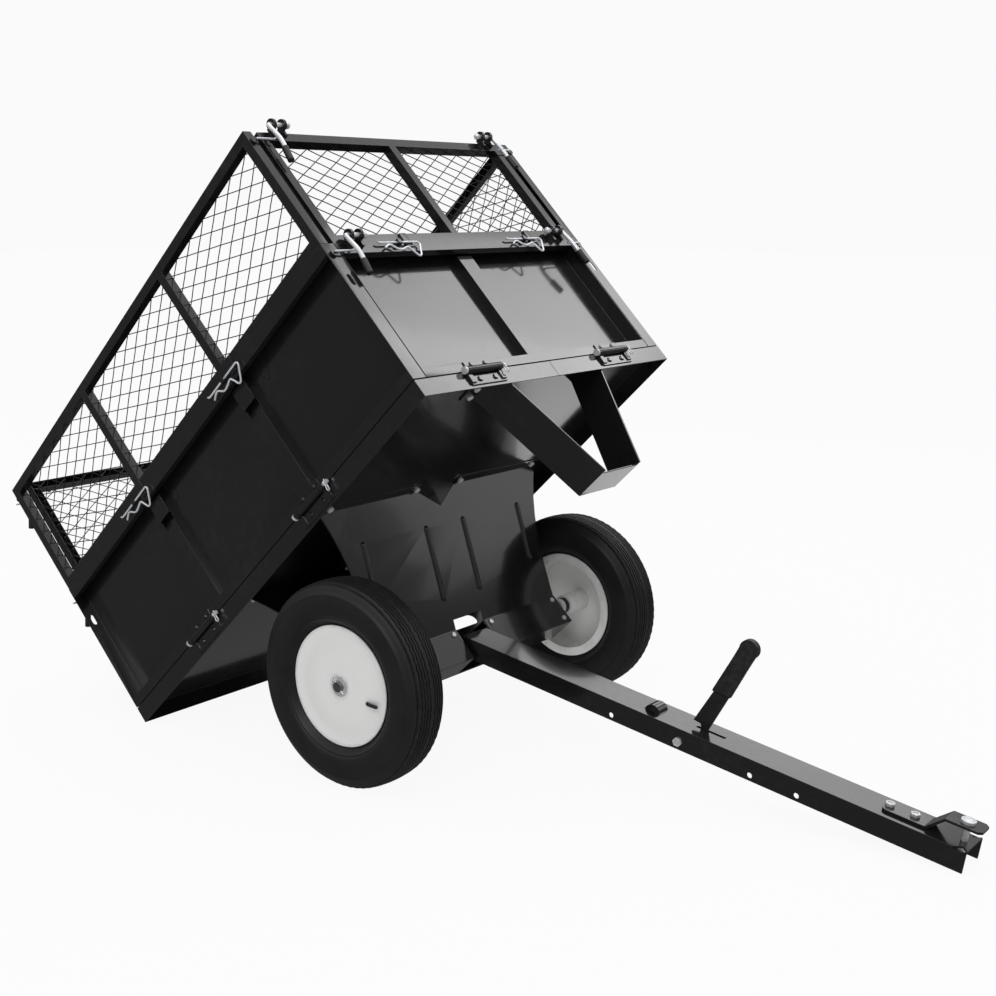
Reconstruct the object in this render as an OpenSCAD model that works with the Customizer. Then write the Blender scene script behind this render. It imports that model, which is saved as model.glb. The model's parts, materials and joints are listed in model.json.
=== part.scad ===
// Tow behind garden cart with a tipping tray, four drop panels and mesh extensions.
// The cart stands tipped: on its wheels, on the tray's rear edge and on the drawbar's tip.
// Tray pieces are drawn level, in a frame with X forward, Y to the left and Z up from the axle line.
// Drawbar pieces are drawn level in a second frame that starts at the same axle line.

/* [Tray] */
// Length of the tray floor
tray_len = 1100; // [950:10:1300]
// Distance from the axle back to the rear edge of the tray
rear_reach = 556; // [480:2:640]
// Width of the tray floor
tray_w = 788; // [680:4:920]
// Height of the floor's top face above the axle
deck_h = 292; // [270:2:330]
// Depth of the turned-down edge of the floor
edge_h = 36; // [28:1:48]
// Thickness of the sheet steel
sheet = 2; // [1.5:0.5:3]

/* [Panels] */
// Height of the sheet panels
panel_h = 312; // [250:2:370]
// Depth of the recess in a sheet panel
recess = 32; // [26:1:38]
// Height of the mesh frames above the panels
mesh_h = 276; // [220:2:330]
// Side of the square section of the mesh frames
tube = 20; // [16:1:24]
// Diameter of the mesh wire
wire_d = 2; // [1.5:0.1:3]
// Distance between neighbouring mesh wires
wire_pitch = 29; // [24:1:60]
// Angle of the mesh wires to the rail
wire_angle = 31; // [25:1:45]

/* [Wheels] */
// Outer diameter of the tyre
wheel_d = 400; // [360:5:440]
// Width of the tyre
tyre_w = 100; // [80:2:110]
// Distance between the middles of the two tyres
track = 724; // [700:2:780]
// Diameter of the rim's outer lip
rim_d = 234; // [210:2:260]
// Diameter of the stub axles
axle_d = 20; // [16:1:24]

/* [Drawbar] */
// Length of the drawbar from the axle to its tip
bar_len = 1080; // [900:10:1290]
// Width of the drawbar channel
bar_w = 76; // [64:2:90]
// Height of the drawbar channel
bar_h = 41; // [35:1:49]
// Thickness of the drawbar channel
bar_t = 3.5; // [3:0.5:5]
// Distance from the axle line to the drawbar's underside
bar_drop = 26; // [22:1:29]
// Diameter of the drawbar's pivot bolt
pivot_d = 14; // [12:1:16]

/* [Latch and hitch] */
// Length of the latch lever above its pivot bolt
lever_len = 216; // [180:2:250]
// Thickness of the latch lever
lever_t = 6; // [4:0.5:8]
// Diameter of the hitch pin
hitch_d = 12.7; // [10:0.1:16]
// Opening of the hitch jaw above the drawbar
jaw_gap = 28; // [20:1:36]
// Thickness of the hitch strap
strap_t = 5; // [4:0.5:8]

/* [Hinges and latches] */
// Diameter of the panel hinge pins
hinge_d = 8; // [6:0.5:10]
// Length of one hinge, with its end knuckles
hinge_len = 100; // [80:2:120]
// Diameter of the corner latch rods
rod_d = 9; // [7:0.5:11]
// Length of a corner latch handle
handle_len = 90; // [70:2:110]

/* [Fits] */
// Radial running clearance of pins and axles
run = 0.05; // [0.02:0.01:0.1]
// Gap between panels that move past each other
gap = 2; // [1.5:0.5:3]
// Radial clearance of bolts in their holes
bolt_fit = 0.3; // [0.1:0.1:0.6]

/* [Hidden] */
$fn = 48;
eps = 0.01;
SIDES = [1, -1];

wheel_r = wheel_d / 2;
front_u = tray_len - rear_reach;
mid_u = front_u - tray_len / 2;
floor_w = deck_h - edge_h;
half_w = tray_w / 2;

// The tray tips until its rear lower edge meets the ground, and the drawbar droops until its tip does.
tip = atan2(floor_w, rear_reach) + asin(wheel_r / norm([floor_w, rear_reach]));
droop = asin(wheel_r / norm([bar_drop, bar_len])) - atan2(bar_drop, bar_len);

// Pivot of the drawbar, in the drawbar frame and in the tray frame.
pivot_s = -10;
pivot_h = -bar_drop;
pivot_x = pivot_s * cos(droop) + pivot_h * sin(droop);
pivot_z = -pivot_s * sin(droop) + pivot_h * cos(droop);
pivot_u = pivot_x * cos(tip) + pivot_z * sin(tip);
pivot_w = -pivot_x * sin(tip) + pivot_z * cos(tip);
bar_top = bar_h - bar_drop;
bar_lift = pivot_w - pivot_h;

// Panels
panel_z = deck_h + gap;
gate_len = tray_w - 2 * (recess + sheet + gap);
lip_top = 25;
lip_low = 20;
rib_w = 44;
rib_out = 16;
rib_end = 4;
hinge_out = 7.5;
knuckle_r = 7;
inset = 1;
pin_y = 6;
gate_hinges = [-209, 209];
side_hinges = [-218, 218];
side_hinge_shift = -15;

// Stand and axle beam, in the tray frame
stand_u = 140;
stand_half = 345;
stand_waist = 292;
stand_foot = 300;
flange_w = 26;
beam_front = 12;
beam_back = -50;
beam_top = 25;
beam_low = -46;
beam_t = 3;
tunnel = bar_w / 2 + 8;
tunnel_top = bar_top + bar_lift + 10;
notch_half = 62;
notch_deep = 36;
// Slot across the middle of the rear stand panel: half length, height of its middle and radius
slot_half = 106;
slot_w = 62;
slot_r = 14;
rib_centres = [59, 247];
rib_lows = [87, 115];
rib_top = 218;
bead_r = 8;
bead_out = 5;
deck_bolts = [70, 320];
// Height of the upper beam bolts: their shanks pass above the stub axles.
beam_bolt_w = axle_d / 2 + 5;
beam_bolts = [[62, beam_bolt_w], [280, beam_bolt_w], [280, -33]];

// Latch bracket under the front of the tray
arm_w = 80;
arm_front = front_u - sheet - 1.5;
arm_foot = 61;
arm_low = 38;
arm_t = 3;
arm_slope = 0.4;
plate_front = 531;
foot_w = 40;

// Wheel parts
rim_lip = 31;
bead_fit = 0.3;
valve_r = 84;
valve_angle = -15;
hub_half = 48;
hub_r = 17;
tyre_bead = 103;
hub_in = track / 2 - hub_half;
hub_out = track / 2 + 32;
axle_in = 240;
axle_out = hub_out + 10;
wheel_washer = 2.5;

// Lever
lever_s = 527;
lever_h = -10.5;
lever_pin_d = 10;
slot_back = 541;
slot_front = 602;
bump_s = 451;
bump_r = 17;
bump_w = 30;

// Hitch
pin_s = bar_len - 19;
strap_back = bar_len - 162;
strap_bend = bar_len - 80;
strap_step = bar_len - 50;
strap_tip = bar_len + 12;
strap_w = 42;
strap_holes = [bar_len - 153, bar_len - 107];
side_holes = [377, 679, 773];
side_hole_d = 11;
side_hole_h = -bar_drop + 10;

M6 = 6;
M8 = 8;
M10 = 10;

// Latch rods, from the panel's face and from the top of its rail
latch_y = 13;
latch_z = 7;
lug_r = 11;
hang = 3;
lug_in = 60;
lug_out = 34;
handle_in = 25;

// Middle of the cart along X, for the origin: from the rear upper latches to the strap's tip.
mesh_top = panel_z + panel_h + mesh_h;
rear_x = -(rear_reach + latch_y + lug_r) * cos(tip) - (mesh_top + latch_z + lug_r) * sin(tip);
tip_x = strap_tip * cos(droop) + (bar_top + jaw_gap) * sin(droop);
origin_x = (rear_x + tip_x) / 2;

// ---- frames ----

module tray_frame() {
    translate([-origin_x, 0, wheel_r]) rotate([0, -tip, 0]) children();
}

module bar_frame() {
    translate([-origin_x, 0, wheel_r]) rotate([0, droop, 0]) children();
}

// A panel's own frame: X along the panel, Y outwards from its outer face, Z up from its lower edge.
module at_front() {
    translate([front_u, 0, panel_z]) rotate([0, 0, -90]) children();
}

module at_rear() {
    translate([-rear_reach, 0, panel_z]) rotate([0, 0, 90]) children();
}

module at_left() {
    translate([mid_u, half_w, panel_z]) children();
}

module at_right() {
    translate([mid_u, -half_w, panel_z]) rotate([0, 0, 180]) children();
}

// ---- small shared shapes ----

// A straight rod from one point to another, with flat ends.
module rod(a, b, d) {
    v = b - a;
    len = norm(v);
    translate(a) rotate([0, acos(v[2] / len), atan2(v[1], v[0])]) cylinder(d = d, h = len);
}

// A bolt with its head at z = 0 and up, and its nut at the far end of the grip.
module bolt(d, grip) {
    difference() {
        union() {
            cylinder(d = 1.8 * d, h = 0.6 * d, $fn = 6);
            translate([0, 0, -grip - d]) cylinder(d = d, h = grip + d + eps);
            translate([0, 0, -grip - 0.8 * d]) cylinder(d = 1.8 * d, h = 0.8 * d, $fn = 6);
        }
        translate([0, 0, 0.45 * d]) cylinder(d = d, h = d);
    }
}

module bolt_hole(d, depth) {
    translate([0, 0, -depth]) cylinder(r = d / 2 + bolt_fit, h = 2 * depth);
}

// A flat wire bent in one plane, along a list of points.
module bent_wire(points, t) {
    linear_extrude(t, center = true) {
        for (i = [0:len(points) - 2]) {
            v = points[i + 1] - points[i];
            translate(points[i]) rotate(atan2(v[1], v[0])) translate([0, -t / 2]) square([norm(v), t]);
        }
        for (p = points) translate(p) circle(d = 1.12 * t);
    }
}

// A spring clip: a straight leg through the pin and a waved leg round it.
module spring_clip(size, t) {
    bent_wire([[0, 0], [size, 0], [size * 1.18, size * 0.12], [size * 1.1, size * 0.3],
        [size * 0.8, size * 0.24], [size * 0.5, size * 0.38], [size * 0.2, size * 0.16],
        [0, size * 0.3]], t);
}

// ---- drawbar ----

module drawbar_channel() {
    ear_r = pivot_d / 2 + 9;
    color("#1b1b1c") bar_frame() difference() {
        union() {
            translate([pivot_s + 12, -bar_w / 2, -bar_drop]) cube([bar_len - pivot_s - 12, bar_w, bar_h]);
            for (s = SIDES) translate([pivot_s, s * (bar_w - bar_t) / 2, pivot_h]) {
                rotate([90, 0, 0]) cylinder(r = ear_r, h = bar_t, center = true);
                translate([0, -bar_t / 2, 0]) cube([40, bar_t, bar_h - 6]);
            }
            // lanced rest bump for the latch bracket
            translate([bump_s, 0, bar_top - 4]) rotate([90, 0, 0])
                cylinder(r = bump_r, h = bump_w, center = true);
        }
        translate([-100, -bar_w / 2 + bar_t, -bar_drop - 30])
            cube([bar_len + 200, bar_w - 2 * bar_t, 30 + bar_h - bar_t]);
        translate([bump_s, 0, bar_top - 4]) rotate([90, 0, 0])
            cylinder(r = bump_r - bar_t, h = bump_w + 1, center = true);
        // slot that the lever stands in
        translate([slot_back, -lever_t / 2 - 1, bar_top - 2 * bar_t])
            cube([slot_front - slot_back, lever_t + 2, 3 * bar_t]);
        // pivot, lever bolt, hitch pin, strap bolts and spare side holes
        translate([pivot_s, 0, pivot_h]) rotate([90, 0, 0])
            cylinder(r = pivot_d / 2 + run, h = 2 * bar_w, center = true);
        translate([lever_s, 0, lever_h]) rotate([90, 0, 0])
            cylinder(r = lever_pin_d / 2 + bolt_fit, h = 2 * bar_w, center = true);
        translate([pin_s, 0, 0]) cylinder(r = hitch_d / 2 + run, h = bar_w);
        for (s = strap_holes) translate([s, 0, bar_top]) bolt_hole(M10, 12);
        for (s = side_holes) translate([s, 0, side_hole_h]) rotate([90, 0, 0])
            cylinder(d = side_hole_d, h = 2 * bar_w, center = true);
        // rounded front end of the top plate
        for (s = SIDES) translate([bar_len - 12, s * bar_w / 2, bar_top])
            rotate([0, 0, s * 45]) translate([-10, -10, -bar_t - eps]) cube([60, 20, 2 * bar_t]);
    }
}

module hitch_strap() {
    step = jaw_gap;
    color("#1b1b1c") bar_frame() translate([0, 0, bar_top]) difference() {
        translate([0, strap_w / 2, 0]) rotate([90, 0, 0]) linear_extrude(strap_w) polygon([
            [strap_back, 0], [strap_bend, 0], [strap_step, step], [strap_tip, step],
            [strap_tip, step + strap_t], [strap_step - strap_t * 0.35, step + strap_t],
            [strap_bend - strap_t * 0.35, strap_t], [strap_back, strap_t]
        ]);
        for (s = strap_holes) translate([s, 0, strap_t]) bolt_hole(M10, 12);
        translate([pin_s, 0, 0]) cylinder(r = hitch_d / 2 + run, h = 2 * jaw_gap);
    }
}

module strap_bolts() {
    color("#c9ccd0") bar_frame() for (s = strap_holes)
        translate([s, 0, bar_top + strap_t]) bolt(M10, strap_t + bar_t);
}

module lever_pivot_bolt() {
    color("#c9ccd0") bar_frame() translate([lever_s, -bar_w / 2, lever_h]) rotate([90, 0, 0])
        bolt(lever_pin_d, bar_w);
}

// Torsion spring on the lever's bolt, beside the lever.
module lever_spring() {
    coil_d = lever_pin_d + 4;
    color("#8d9094") bar_frame() translate([lever_s, lever_t / 2 + 1, lever_h]) rotate([-90, 0, 0]) {
        for (i = [0:4]) translate([0, 0, 1.1 + 2.25 * i]) rotate_extrude()
            translate([coil_d / 2, 0]) square(2.2, center = true);
        translate([-coil_d / 2 - 1.1, -16, 9]) cube([2.2, 16, 2.2]);
    }
}

module hitch_pin() {
    head_z = bar_top + jaw_gap + strap_t;
    color("#c9ccd0") bar_frame() translate([pin_s, 0, 0]) {
        translate([0, 0, head_z]) cylinder(d = 2 * hitch_d, h = 5);
        translate([0, 0, head_z + 5 - eps]) cylinder(d1 = 1.7 * hitch_d, d2 = hitch_d, h = 2);
        difference() {
            translate([0, 0, -12]) cylinder(d = hitch_d, h = head_z + 12 + eps);
            translate([0, 0, -5]) rotate([90, 0, 0]) cylinder(d = 4, h = 40, center = true);
        }
    }
}

module hitch_pin_clip() {
    color("#d5d8db") bar_frame() translate([pin_s, -14, -5]) rotate([0, 0, 90]) spring_clip(26, 2.8);
}

// Flat lever, drawn in the drawbar's upright plane from its pivot bolt.
module latch_lever() {
    color("#1b1b1c") bar_frame() translate([lever_s, lever_t / 2, lever_h]) rotate([90, 0, 0])
    difference() {
        linear_extrude(lever_t) difference() {
            union() {
                circle(r = lever_pin_d / 2 + 6);
                polygon([
                    [-4, 10], [4, -10.5], [34, 8], [37, 24], [67, 104], [128.4, 280],
                    [99, 284], [36, 108], [5.5, 37], [22, 35], [23.5, 27], [22, 21],
                ]);
            }
            translate([0, lever_len]) square([400, 200]);
        }
        translate([0, 0, -1]) cylinder(r = lever_pin_d / 2 + run, h = lever_t + 2);
    }
}

module lever_grip() {
    skin = 3.2;
    low = 106;
    color("#232324") bar_frame() translate([lever_s, lever_t / 2 + skin, lever_h]) rotate([90, 0, 0])
    difference() {
        linear_extrude(lever_t + 2 * skin) difference() {
            union() {
                polygon([[32, 108], [70.5, 106], [107.5, 211], [95, 222], [76, 222]]);
                translate([89.5, 209]) circle(r = 18.6);
            }
            translate([0, low - 60]) square([200, 60]);
        }
        // pocket for the lever
        translate([0, 0, skin]) linear_extrude(lever_t) difference() {
            polygon([[67, 104], [128.4, 280], [99, 284], [36, 108], [36, 90], [67, 90]]);
            translate([0, lever_len]) square([400, 200]);
        }
    }
}

// ---- tray ----

// Half of the floor, on the +Y side, with its turned-down edges.
module floor_half() {
    difference() {
        translate([-rear_reach, 0, floor_w]) cube([tray_len, half_w, edge_h]);
        translate([-rear_reach + sheet, -1, floor_w - 1])
            cube([tray_len - 2 * sheet, half_w - sheet + 1, edge_h + 1 - sheet]);
        for (d = SIDES, v = deck_bolts) translate([d * (stand_u + 13), v, deck_h]) bolt_hole(M8, 10);
        for (u = bracket_bolts()) translate([u, bracket_bolt_v(), deck_h]) bolt_hole(M8, 10);
    }
}

function bracket_bolts() = [arm_front - 70, arm_front - 46];
function arm_top_v() = arm_foot + arm_slope * (deck_h - sheet - arm_low);
function bracket_bolt_v() = arm_top_v() + foot_w / 2;

module floor_left() {
    color("#202022") tray_frame() floor_half();
}

module floor_right() {
    color("#202022") tray_frame() mirror([0, 1, 0]) floor_half();
}

// Half-width of a stand panel at height w: full at the top, waisted in the middle, wider at the foot.
function stand_half_at(w) = w > 100
    ? stand_waist + (stand_half - stand_waist) * pow((w - 100) / (deck_h - 100), 2.2)
    : stand_waist + (stand_foot - stand_waist) * pow((100 - w) / (100 - beam_low), 1.5);

// A stand panel: bolting flange under the floor, sloping panel with embossed ribs,
// and an upright flange on the beam.
// It is drawn for the front and turned for the rear; face is where its upright flange lies.
module stand_panel(face, front) {
    top_w = deck_h - sheet;
    slope_u = stand_u - face;
    slope_w = top_w - beam_top;
    slope_len = norm([slope_u, slope_w]);
    lean = atan2(slope_u, slope_w);
    steps = 10;
    ws = [for (i = [0:steps]) beam_low + (top_w - beam_low) * i / steps];
    outline = concat([for (w = ws) [stand_half_at(w), w]],
        [[notch_half, top_w], [0, top_w - notch_deep], [-notch_half, top_w]],
        [for (i = [steps:-1:0]) [-stand_half_at(ws[i]), ws[i]]]);
    difference() {
        union() {
            intersection() {
                // folded section, along the whole width
                translate([0, half_w, 0]) rotate([90, 0, 0]) linear_extrude(tray_w) polygon([
                    [face, beam_low], [face + sheet + 0.5, beam_low], [face + sheet + 0.5, beam_top],
                    [stand_u + sheet + 0.5, top_w - sheet], [stand_u + flange_w, top_w - sheet],
                    [stand_u + flange_w, top_w], [stand_u, top_w], [face, beam_top]
                ]);
                // outline seen from the front
                translate([face - 10, 0, 0]) rotate([90, 0, 90]) linear_extrude(stand_u - face + 60)
                    polygon(outline);
            }
            // embossed ribs
            for (s = SIDES, i = [0, 1]) translate([face + sheet + 0.5, s * rib_centres[i], beam_top])
                rotate([0, lean, 0]) translate([bead_out - bead_r, 0, 0]) {
                    low = (rib_lows[i] - beam_top) / cos(lean);
                    top = (rib_top - beam_top) / cos(lean);
                    translate([0, 0, low]) cylinder(r = bead_r, h = top - low);
                    for (z = [low, top]) translate([0, 0, z]) sphere(r = bead_r);
                }
        }
        // behind the panel the embossing is open
        for (s = SIDES, i = [0, 1]) translate([face, s * rib_centres[i], beam_top])
            rotate([0, lean, 0]) translate([-2 * bead_r, -2 * bead_r, 0])
                cube([2 * bead_r, 4 * bead_r, slope_len - 4]);
        if (front) translate([face - 5, -tunnel, beam_low - 1])
            cube([60, 2 * tunnel, tunnel_top - beam_low + 1]);
        else translate([face - 5, 0, slot_w]) rotate([0, 90, 0]) linear_extrude(60) {
            square([2 * slot_r, 2 * slot_half], center = true);
            for (s = SIDES) translate([0, s * slot_half]) circle(r = slot_r);
        }
        for (s = SIDES, v = deck_bolts) translate([stand_u + 13, s * v, deck_h]) bolt_hole(M8, 10);
        for (s = SIDES, b = beam_bolts) translate([face, s * b[0], b[1]]) rotate([0, 90, 0])
            bolt_hole(M6, 10);
    }
}

module stand_front() {
    color("#1d1d1f") tray_frame() stand_panel(beam_front, true);
}

module stand_rear() {
    color("#1d1d1f") tray_frame() mirror([1, 0, 0]) stand_panel(-beam_back, false);
}

// Box beam between the wheels, cut open in the middle for the drawbar, with the drawbar's ears on its back.
module axle_beam() {
    len = 2 * (hub_in - 14);
    ear_gap = bar_w / 2 + 1;
    color("#1d1d1f") tray_frame() difference() {
        union() {
            difference() {
                translate([beam_back, -len / 2, beam_low])
                    cube([beam_front - beam_back, len, beam_top - beam_low]);
                translate([beam_back + beam_t, -len, beam_low + beam_t])
                    cube([beam_front - beam_back - 2 * beam_t, 2 * len, beam_top - beam_low - 2 * beam_t]);
                translate([beam_back + beam_t, -tunnel, beam_low - 1])
                    cube([beam_front - beam_back, 2 * tunnel, beam_top - beam_low + 2]);
            }
            // walls that hold the stub axles
            for (s = SIDES, v = [axle_in + 6, len / 2])
                translate([beam_back, s * v - (s > 0 ? 6 : 0), beam_low])
                cube([beam_front - beam_back, 6, beam_top - beam_low]);
            // ears for the drawbar's pivot bolt
            for (s = SIDES) translate([0, s * ear_gap + (s > 0 ? 0 : -4), 0]) {
                translate([beam_back + beam_t - eps, 0, pivot_w - 15]) cube([pivot_u - beam_back, 4, 30]);
                translate([pivot_u, 4, pivot_w]) rotate([90, 0, 0]) cylinder(r = 15, h = 4);
            }
        }
        rotate([90, 0, 0]) cylinder(d = axle_d, h = 2 * len, center = true);
        translate([pivot_u, 0, pivot_w]) rotate([90, 0, 0])
            cylinder(r = pivot_d / 2 + bolt_fit, h = 4 * bar_w, center = true);
        for (s = SIDES, b = beam_bolts) {
            translate([beam_front, s * b[0], b[1]]) rotate([0, 90, 0]) bolt_hole(M6, 10);
            translate([beam_back, s * b[0], b[1]]) rotate([0, 90, 0]) bolt_hole(M6, 10);
        }
    }
}

module stub_axles() {
    color("#9a9da1") tray_frame() for (s = SIDES) difference() {
        translate([0, s * axle_in, 0]) rotate([-90 * s, 0, 0])
            cylinder(r = axle_d / 2 - run, h = axle_out - axle_in);
        translate([0, s * (hub_out + wheel_washer + 3), 0]) cylinder(d = 4, h = 60, center = true);
    }
}

module drawbar_pivot_bolt() {
    ear_out = bar_w / 2 + 5;
    color("#c9ccd0") tray_frame() translate([pivot_u, -ear_out, pivot_w]) rotate([90, 0, 0])
        bolt(pivot_d, 2 * ear_out);
}

// V bracket: two wide straps from the floor down to a plate that the latch lever holds.
module latch_bracket() {
    top_w = deck_h - sheet;
    top_v = arm_top_v();
    color("#1b1b1c") tray_frame() translate([arm_front - arm_w, 0, 0]) difference() {
        union() {
            rotate([90, 0, 90]) linear_extrude(arm_w) {
                for (s = SIDES) scale([s, 1]) polygon([
                    [arm_foot, arm_low], [top_v, top_w - arm_t], [top_v + foot_w, top_w - arm_t],
                    [top_v + foot_w, top_w], [top_v - arm_t, top_w],
                    [arm_foot - 1.2 * arm_t, arm_low + arm_t],
                    [arm_foot - 1.2 * arm_t, arm_low]
                ]);
            }
            translate([0, -arm_foot, arm_low]) cube([plate_front - arm_front + arm_w, 2 * arm_foot, arm_t]);
        }
        for (s = SIDES, u = bracket_bolts()) translate([u - arm_front + arm_w, s * bracket_bolt_v(), deck_h])
            bolt_hole(M8, 10);
    }
}

module tray_bolts() {
    top_grip = 2 * sheet;
    color("#c9ccd0") tray_frame() for (s = SIDES) {
        for (d = SIDES, v = deck_bolts) translate([d * (stand_u + 13), s * v, deck_h - top_grip])
            rotate([180, 0, 0]) bolt(M8, top_grip);
        for (u = bracket_bolts()) translate([u, s * bracket_bolt_v(), deck_h - sheet - arm_t])
            rotate([180, 0, 0]) bolt(M8, sheet + arm_t);
        for (b = beam_bolts) {
            translate([beam_front + sheet + 0.5, s * b[0], b[1]]) rotate([0, 90, 0])
                bolt(M6, sheet + 0.5 + beam_t);
            translate([beam_back - sheet - 0.5, s * b[0], b[1]]) rotate([0, -90, 0])
                bolt(M6, sheet + 0.5 + beam_t);
        }
    }
}

// Hinge places in a panel's own frame, as distances along the panel.
module each_hinge(places) {
    for (x = places) translate([x, hinge_out, -gap]) children();
}

module all_hinges() {
    at_front() each_hinge(gate_hinges) children();
    at_rear() each_hinge(gate_hinges) children();
    at_left() each_hinge(side_hinge_x(1)) children();
    at_right() each_hinge(side_hinge_x(-1)) children();
}

// Fixed half of a hinge: a leaf on the turned-down edge with a knuckle at each end.
module hinge_leaf() {
    leaf_low = 30;
    end_w = 12;
    difference() {
        union() {
            translate([-hinge_len / 2, -hinge_out, -leaf_low])
                cube([hinge_len, 2.5, leaf_low - knuckle_r - 1]);
            for (x = [-hinge_len / 2, hinge_len / 2 - end_w]) translate([x, 0, 0]) {
                rotate([0, 90, 0]) cylinder(r = knuckle_r, h = end_w);
                translate([0, -hinge_out, -leaf_low + 4]) cube([end_w, hinge_out - 2, leaf_low - 4]);
            }
        }
        translate([-hinge_len, 0, 0]) rotate([0, 90, 0]) cylinder(r = hinge_d / 2 + run, h = 2 * hinge_len);
    }
    for (x = [-22, 22]) translate([x, -hinge_out + 2.5, -leaf_low + 11]) rotate([-90, 0, 0])
        cylinder(d1 = 12, d2 = 8, h = 3);
}

module hinge_leaves() {
    color("#1d1d1f") tray_frame() all_hinges() hinge_leaf();
}

module hinge_pins() {
    color("#c9ccd0") tray_frame() all_hinges() difference() {
        union() {
            translate([-hinge_len / 2 - 12, 0, 0]) rotate([0, 90, 0])
                cylinder(d = hinge_d, h = hinge_len + 14);
            translate([hinge_len / 2 + 1, 0, 0]) rotate([0, 90, 0]) cylinder(d = hinge_d + 6, h = 5);
        }
        translate([-hinge_len / 2 - 6, 0, 0]) cylinder(d = 3.4, h = 20, center = true);
    }
}

module hinge_pin_clips() {
    color("#d5d8db") tray_frame() all_hinges() translate([-hinge_len / 2 - 6, 0, 6]) rotate([0, 90, 0])
        bent_wire([[0, 0], [20, 0], [23.6, 2.4], [22, 6.5], [16, 4], [6, 5.6], [3.5, 5.2]], 2.2);
}

module wheel_retainers() {
    color("#c9ccd0") tray_frame() for (s = SIDES) {
        translate([0, s * (hub_out + 0.3), 0]) rotate([-90 * s, 0, 0]) difference() {
            cylinder(d = 2 * axle_d, h = wheel_washer);
            translate([0, 0, -1]) cylinder(d = axle_d, h = wheel_washer + 2);
        }
        translate([0, s * (hub_out + wheel_washer + 3), -axle_d / 2 - 7]) {
            cylinder(d = 3.4, h = axle_d + 12);
            translate([0, 0, axle_d + 14]) rotate([0, 90, 0])
                rotate_extrude() translate([3.2, 0]) circle(d = 3);
        }
        // collar between the beam and the hub
        translate([0, s * (hub_in - 14 + 0.3), 0]) rotate([-90 * s, 0, 0]) difference() {
            cylinder(d = axle_d + 14, h = 13);
            translate([0, 0, -1]) cylinder(d = axle_d, h = 16);
        }
    }
}

// ---- wheels ----

module wheel_place(s) {
    translate([-origin_x, s * track / 2, wheel_r]) rotate([-90 * s, 0, 0]) children();
}

// Tyre carcass with circumferential grooves, turned about the wheel's axis.
module tyre() {
    h = tyre_w / 2;
    r = wheel_r;
    bead = rim_lip - bead_fit;
    lip = rim_d / 2;
    groove = 3.5;
    color("#1a1a1b") rotate_extrude($fn = 96) difference() {
        polygon([
            [tyre_bead, -bead], [lip + 2, -bead], [lip + 8, -h + 12], [r - 62, -h + 4], [r - 46, -h],
            [r - 28, -h + 2], [r - 14, -h + 8], [r - 5, -h + 18], [r - 1, -h + 34], [r, 0],
            [r - 1, h - 34], [r - 5, h - 18], [r - 14, h - 8], [r - 28, h - 2], [r - 46, h],
            [r - 62, h - 4], [lip + 8, h - 12], [lip + 2, bead], [tyre_bead, bead],
            [tyre_bead, bead - 8], [r - 62, h - 14], [r - 30, h - 12], [r - 14, h - 30],
            [r - 14, -h + 30], [r - 30, -h + 12], [r - 62, -h + 14], [tyre_bead, -bead + 8]
        ]);
        for (y = [-24, -12, 0, 12, 24]) translate([r - groove, y - 1.5]) square([3 * groove, 3]);
    }
}

// Rim: barrel with rolled lips, a shallow disc at the outer side, a hub tube and a valve hole.
module rim() {
    lip = rim_d / 2;
    barrel = tyre_bead - bead_fit;
    wall = 2.5;
    tube_r = hub_r + 0.3;
    face = rim_lip + 1;
    color("#f4f4f2") difference() {
        rotate_extrude($fn = 96) {
            translate([barrel - wall, -rim_lip]) square([wall, 2 * rim_lip]);
            for (s = SIDES) translate([barrel - wall, s > 0 ? rim_lip : -rim_lip - wall])
                square([lip - barrel + wall, wall]);
            polygon([
                [barrel - wall, rim_lip - 4], [barrel + eps, rim_lip], [barrel, face],
                [barrel - 8, face - 3],
                [barrel - 30, face], [50, face + 0.5], [28, face], [tube_r, face], [tube_r, face - 3],
                [28, face - 3], [50, face - 2], [barrel - 30, face - 2.5], [barrel - 8, face - 5.5]
            ]);
            translate([tube_r, -hub_half + 10]) square([4, hub_half - 10 + face - 1]);
        }
        rotate([0, 0, valve_angle]) translate([valve_r, 0, 0]) cylinder(d = 11, h = 60);
    }
}

module hub_bush() {
    color("#18181a") difference() {
        translate([0, 0, -hub_half]) cylinder(r = hub_r, h = hub_half + 32);
        translate([0, 0, -hub_half - 1]) cylinder(r = axle_d / 2, h = 2 * hub_half);
    }
}

module tyre_left() { wheel_place(1) tyre(); }
module tyre_right() { wheel_place(-1) tyre(); }
module rim_left() { wheel_place(1) rim(); }
module rim_right() { wheel_place(-1) rim(); }
module hub_bush_left() { wheel_place(1) hub_bush(); }
module hub_bush_right() { wheel_place(-1) hub_bush(); }

// ---- drop panels ----

// Folded section of a panel, in its own Y and Z: sheet, top rail, lower lip.
module panel_section() {
    deep = recess + sheet;
    translate([-deep, 0]) square([sheet, panel_h]);
    translate([-deep, 0]) square([deep, sheet]);
    translate([-sheet, 0]) square([sheet, lip_low]);
    translate([-deep, panel_h - sheet]) square([deep, sheet]);
    translate([-sheet, panel_h - lip_top]) square([sheet, lip_top]);
    translate([-14, panel_h - lip_top]) square([14, sheet]);
}

// A vertical hat-section rib on the sheet.
module panel_rib() {
    h = panel_h - lip_top - 2 * rib_end;
    translate([-rib_w / 2, -recess - eps, rib_end]) difference() {
        cube([rib_w, rib_out, h]);
        translate([sheet, -1, -1]) cube([rib_w - 2 * sheet, rib_out + 1 - sheet, h + 2]);
    }
}

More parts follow.
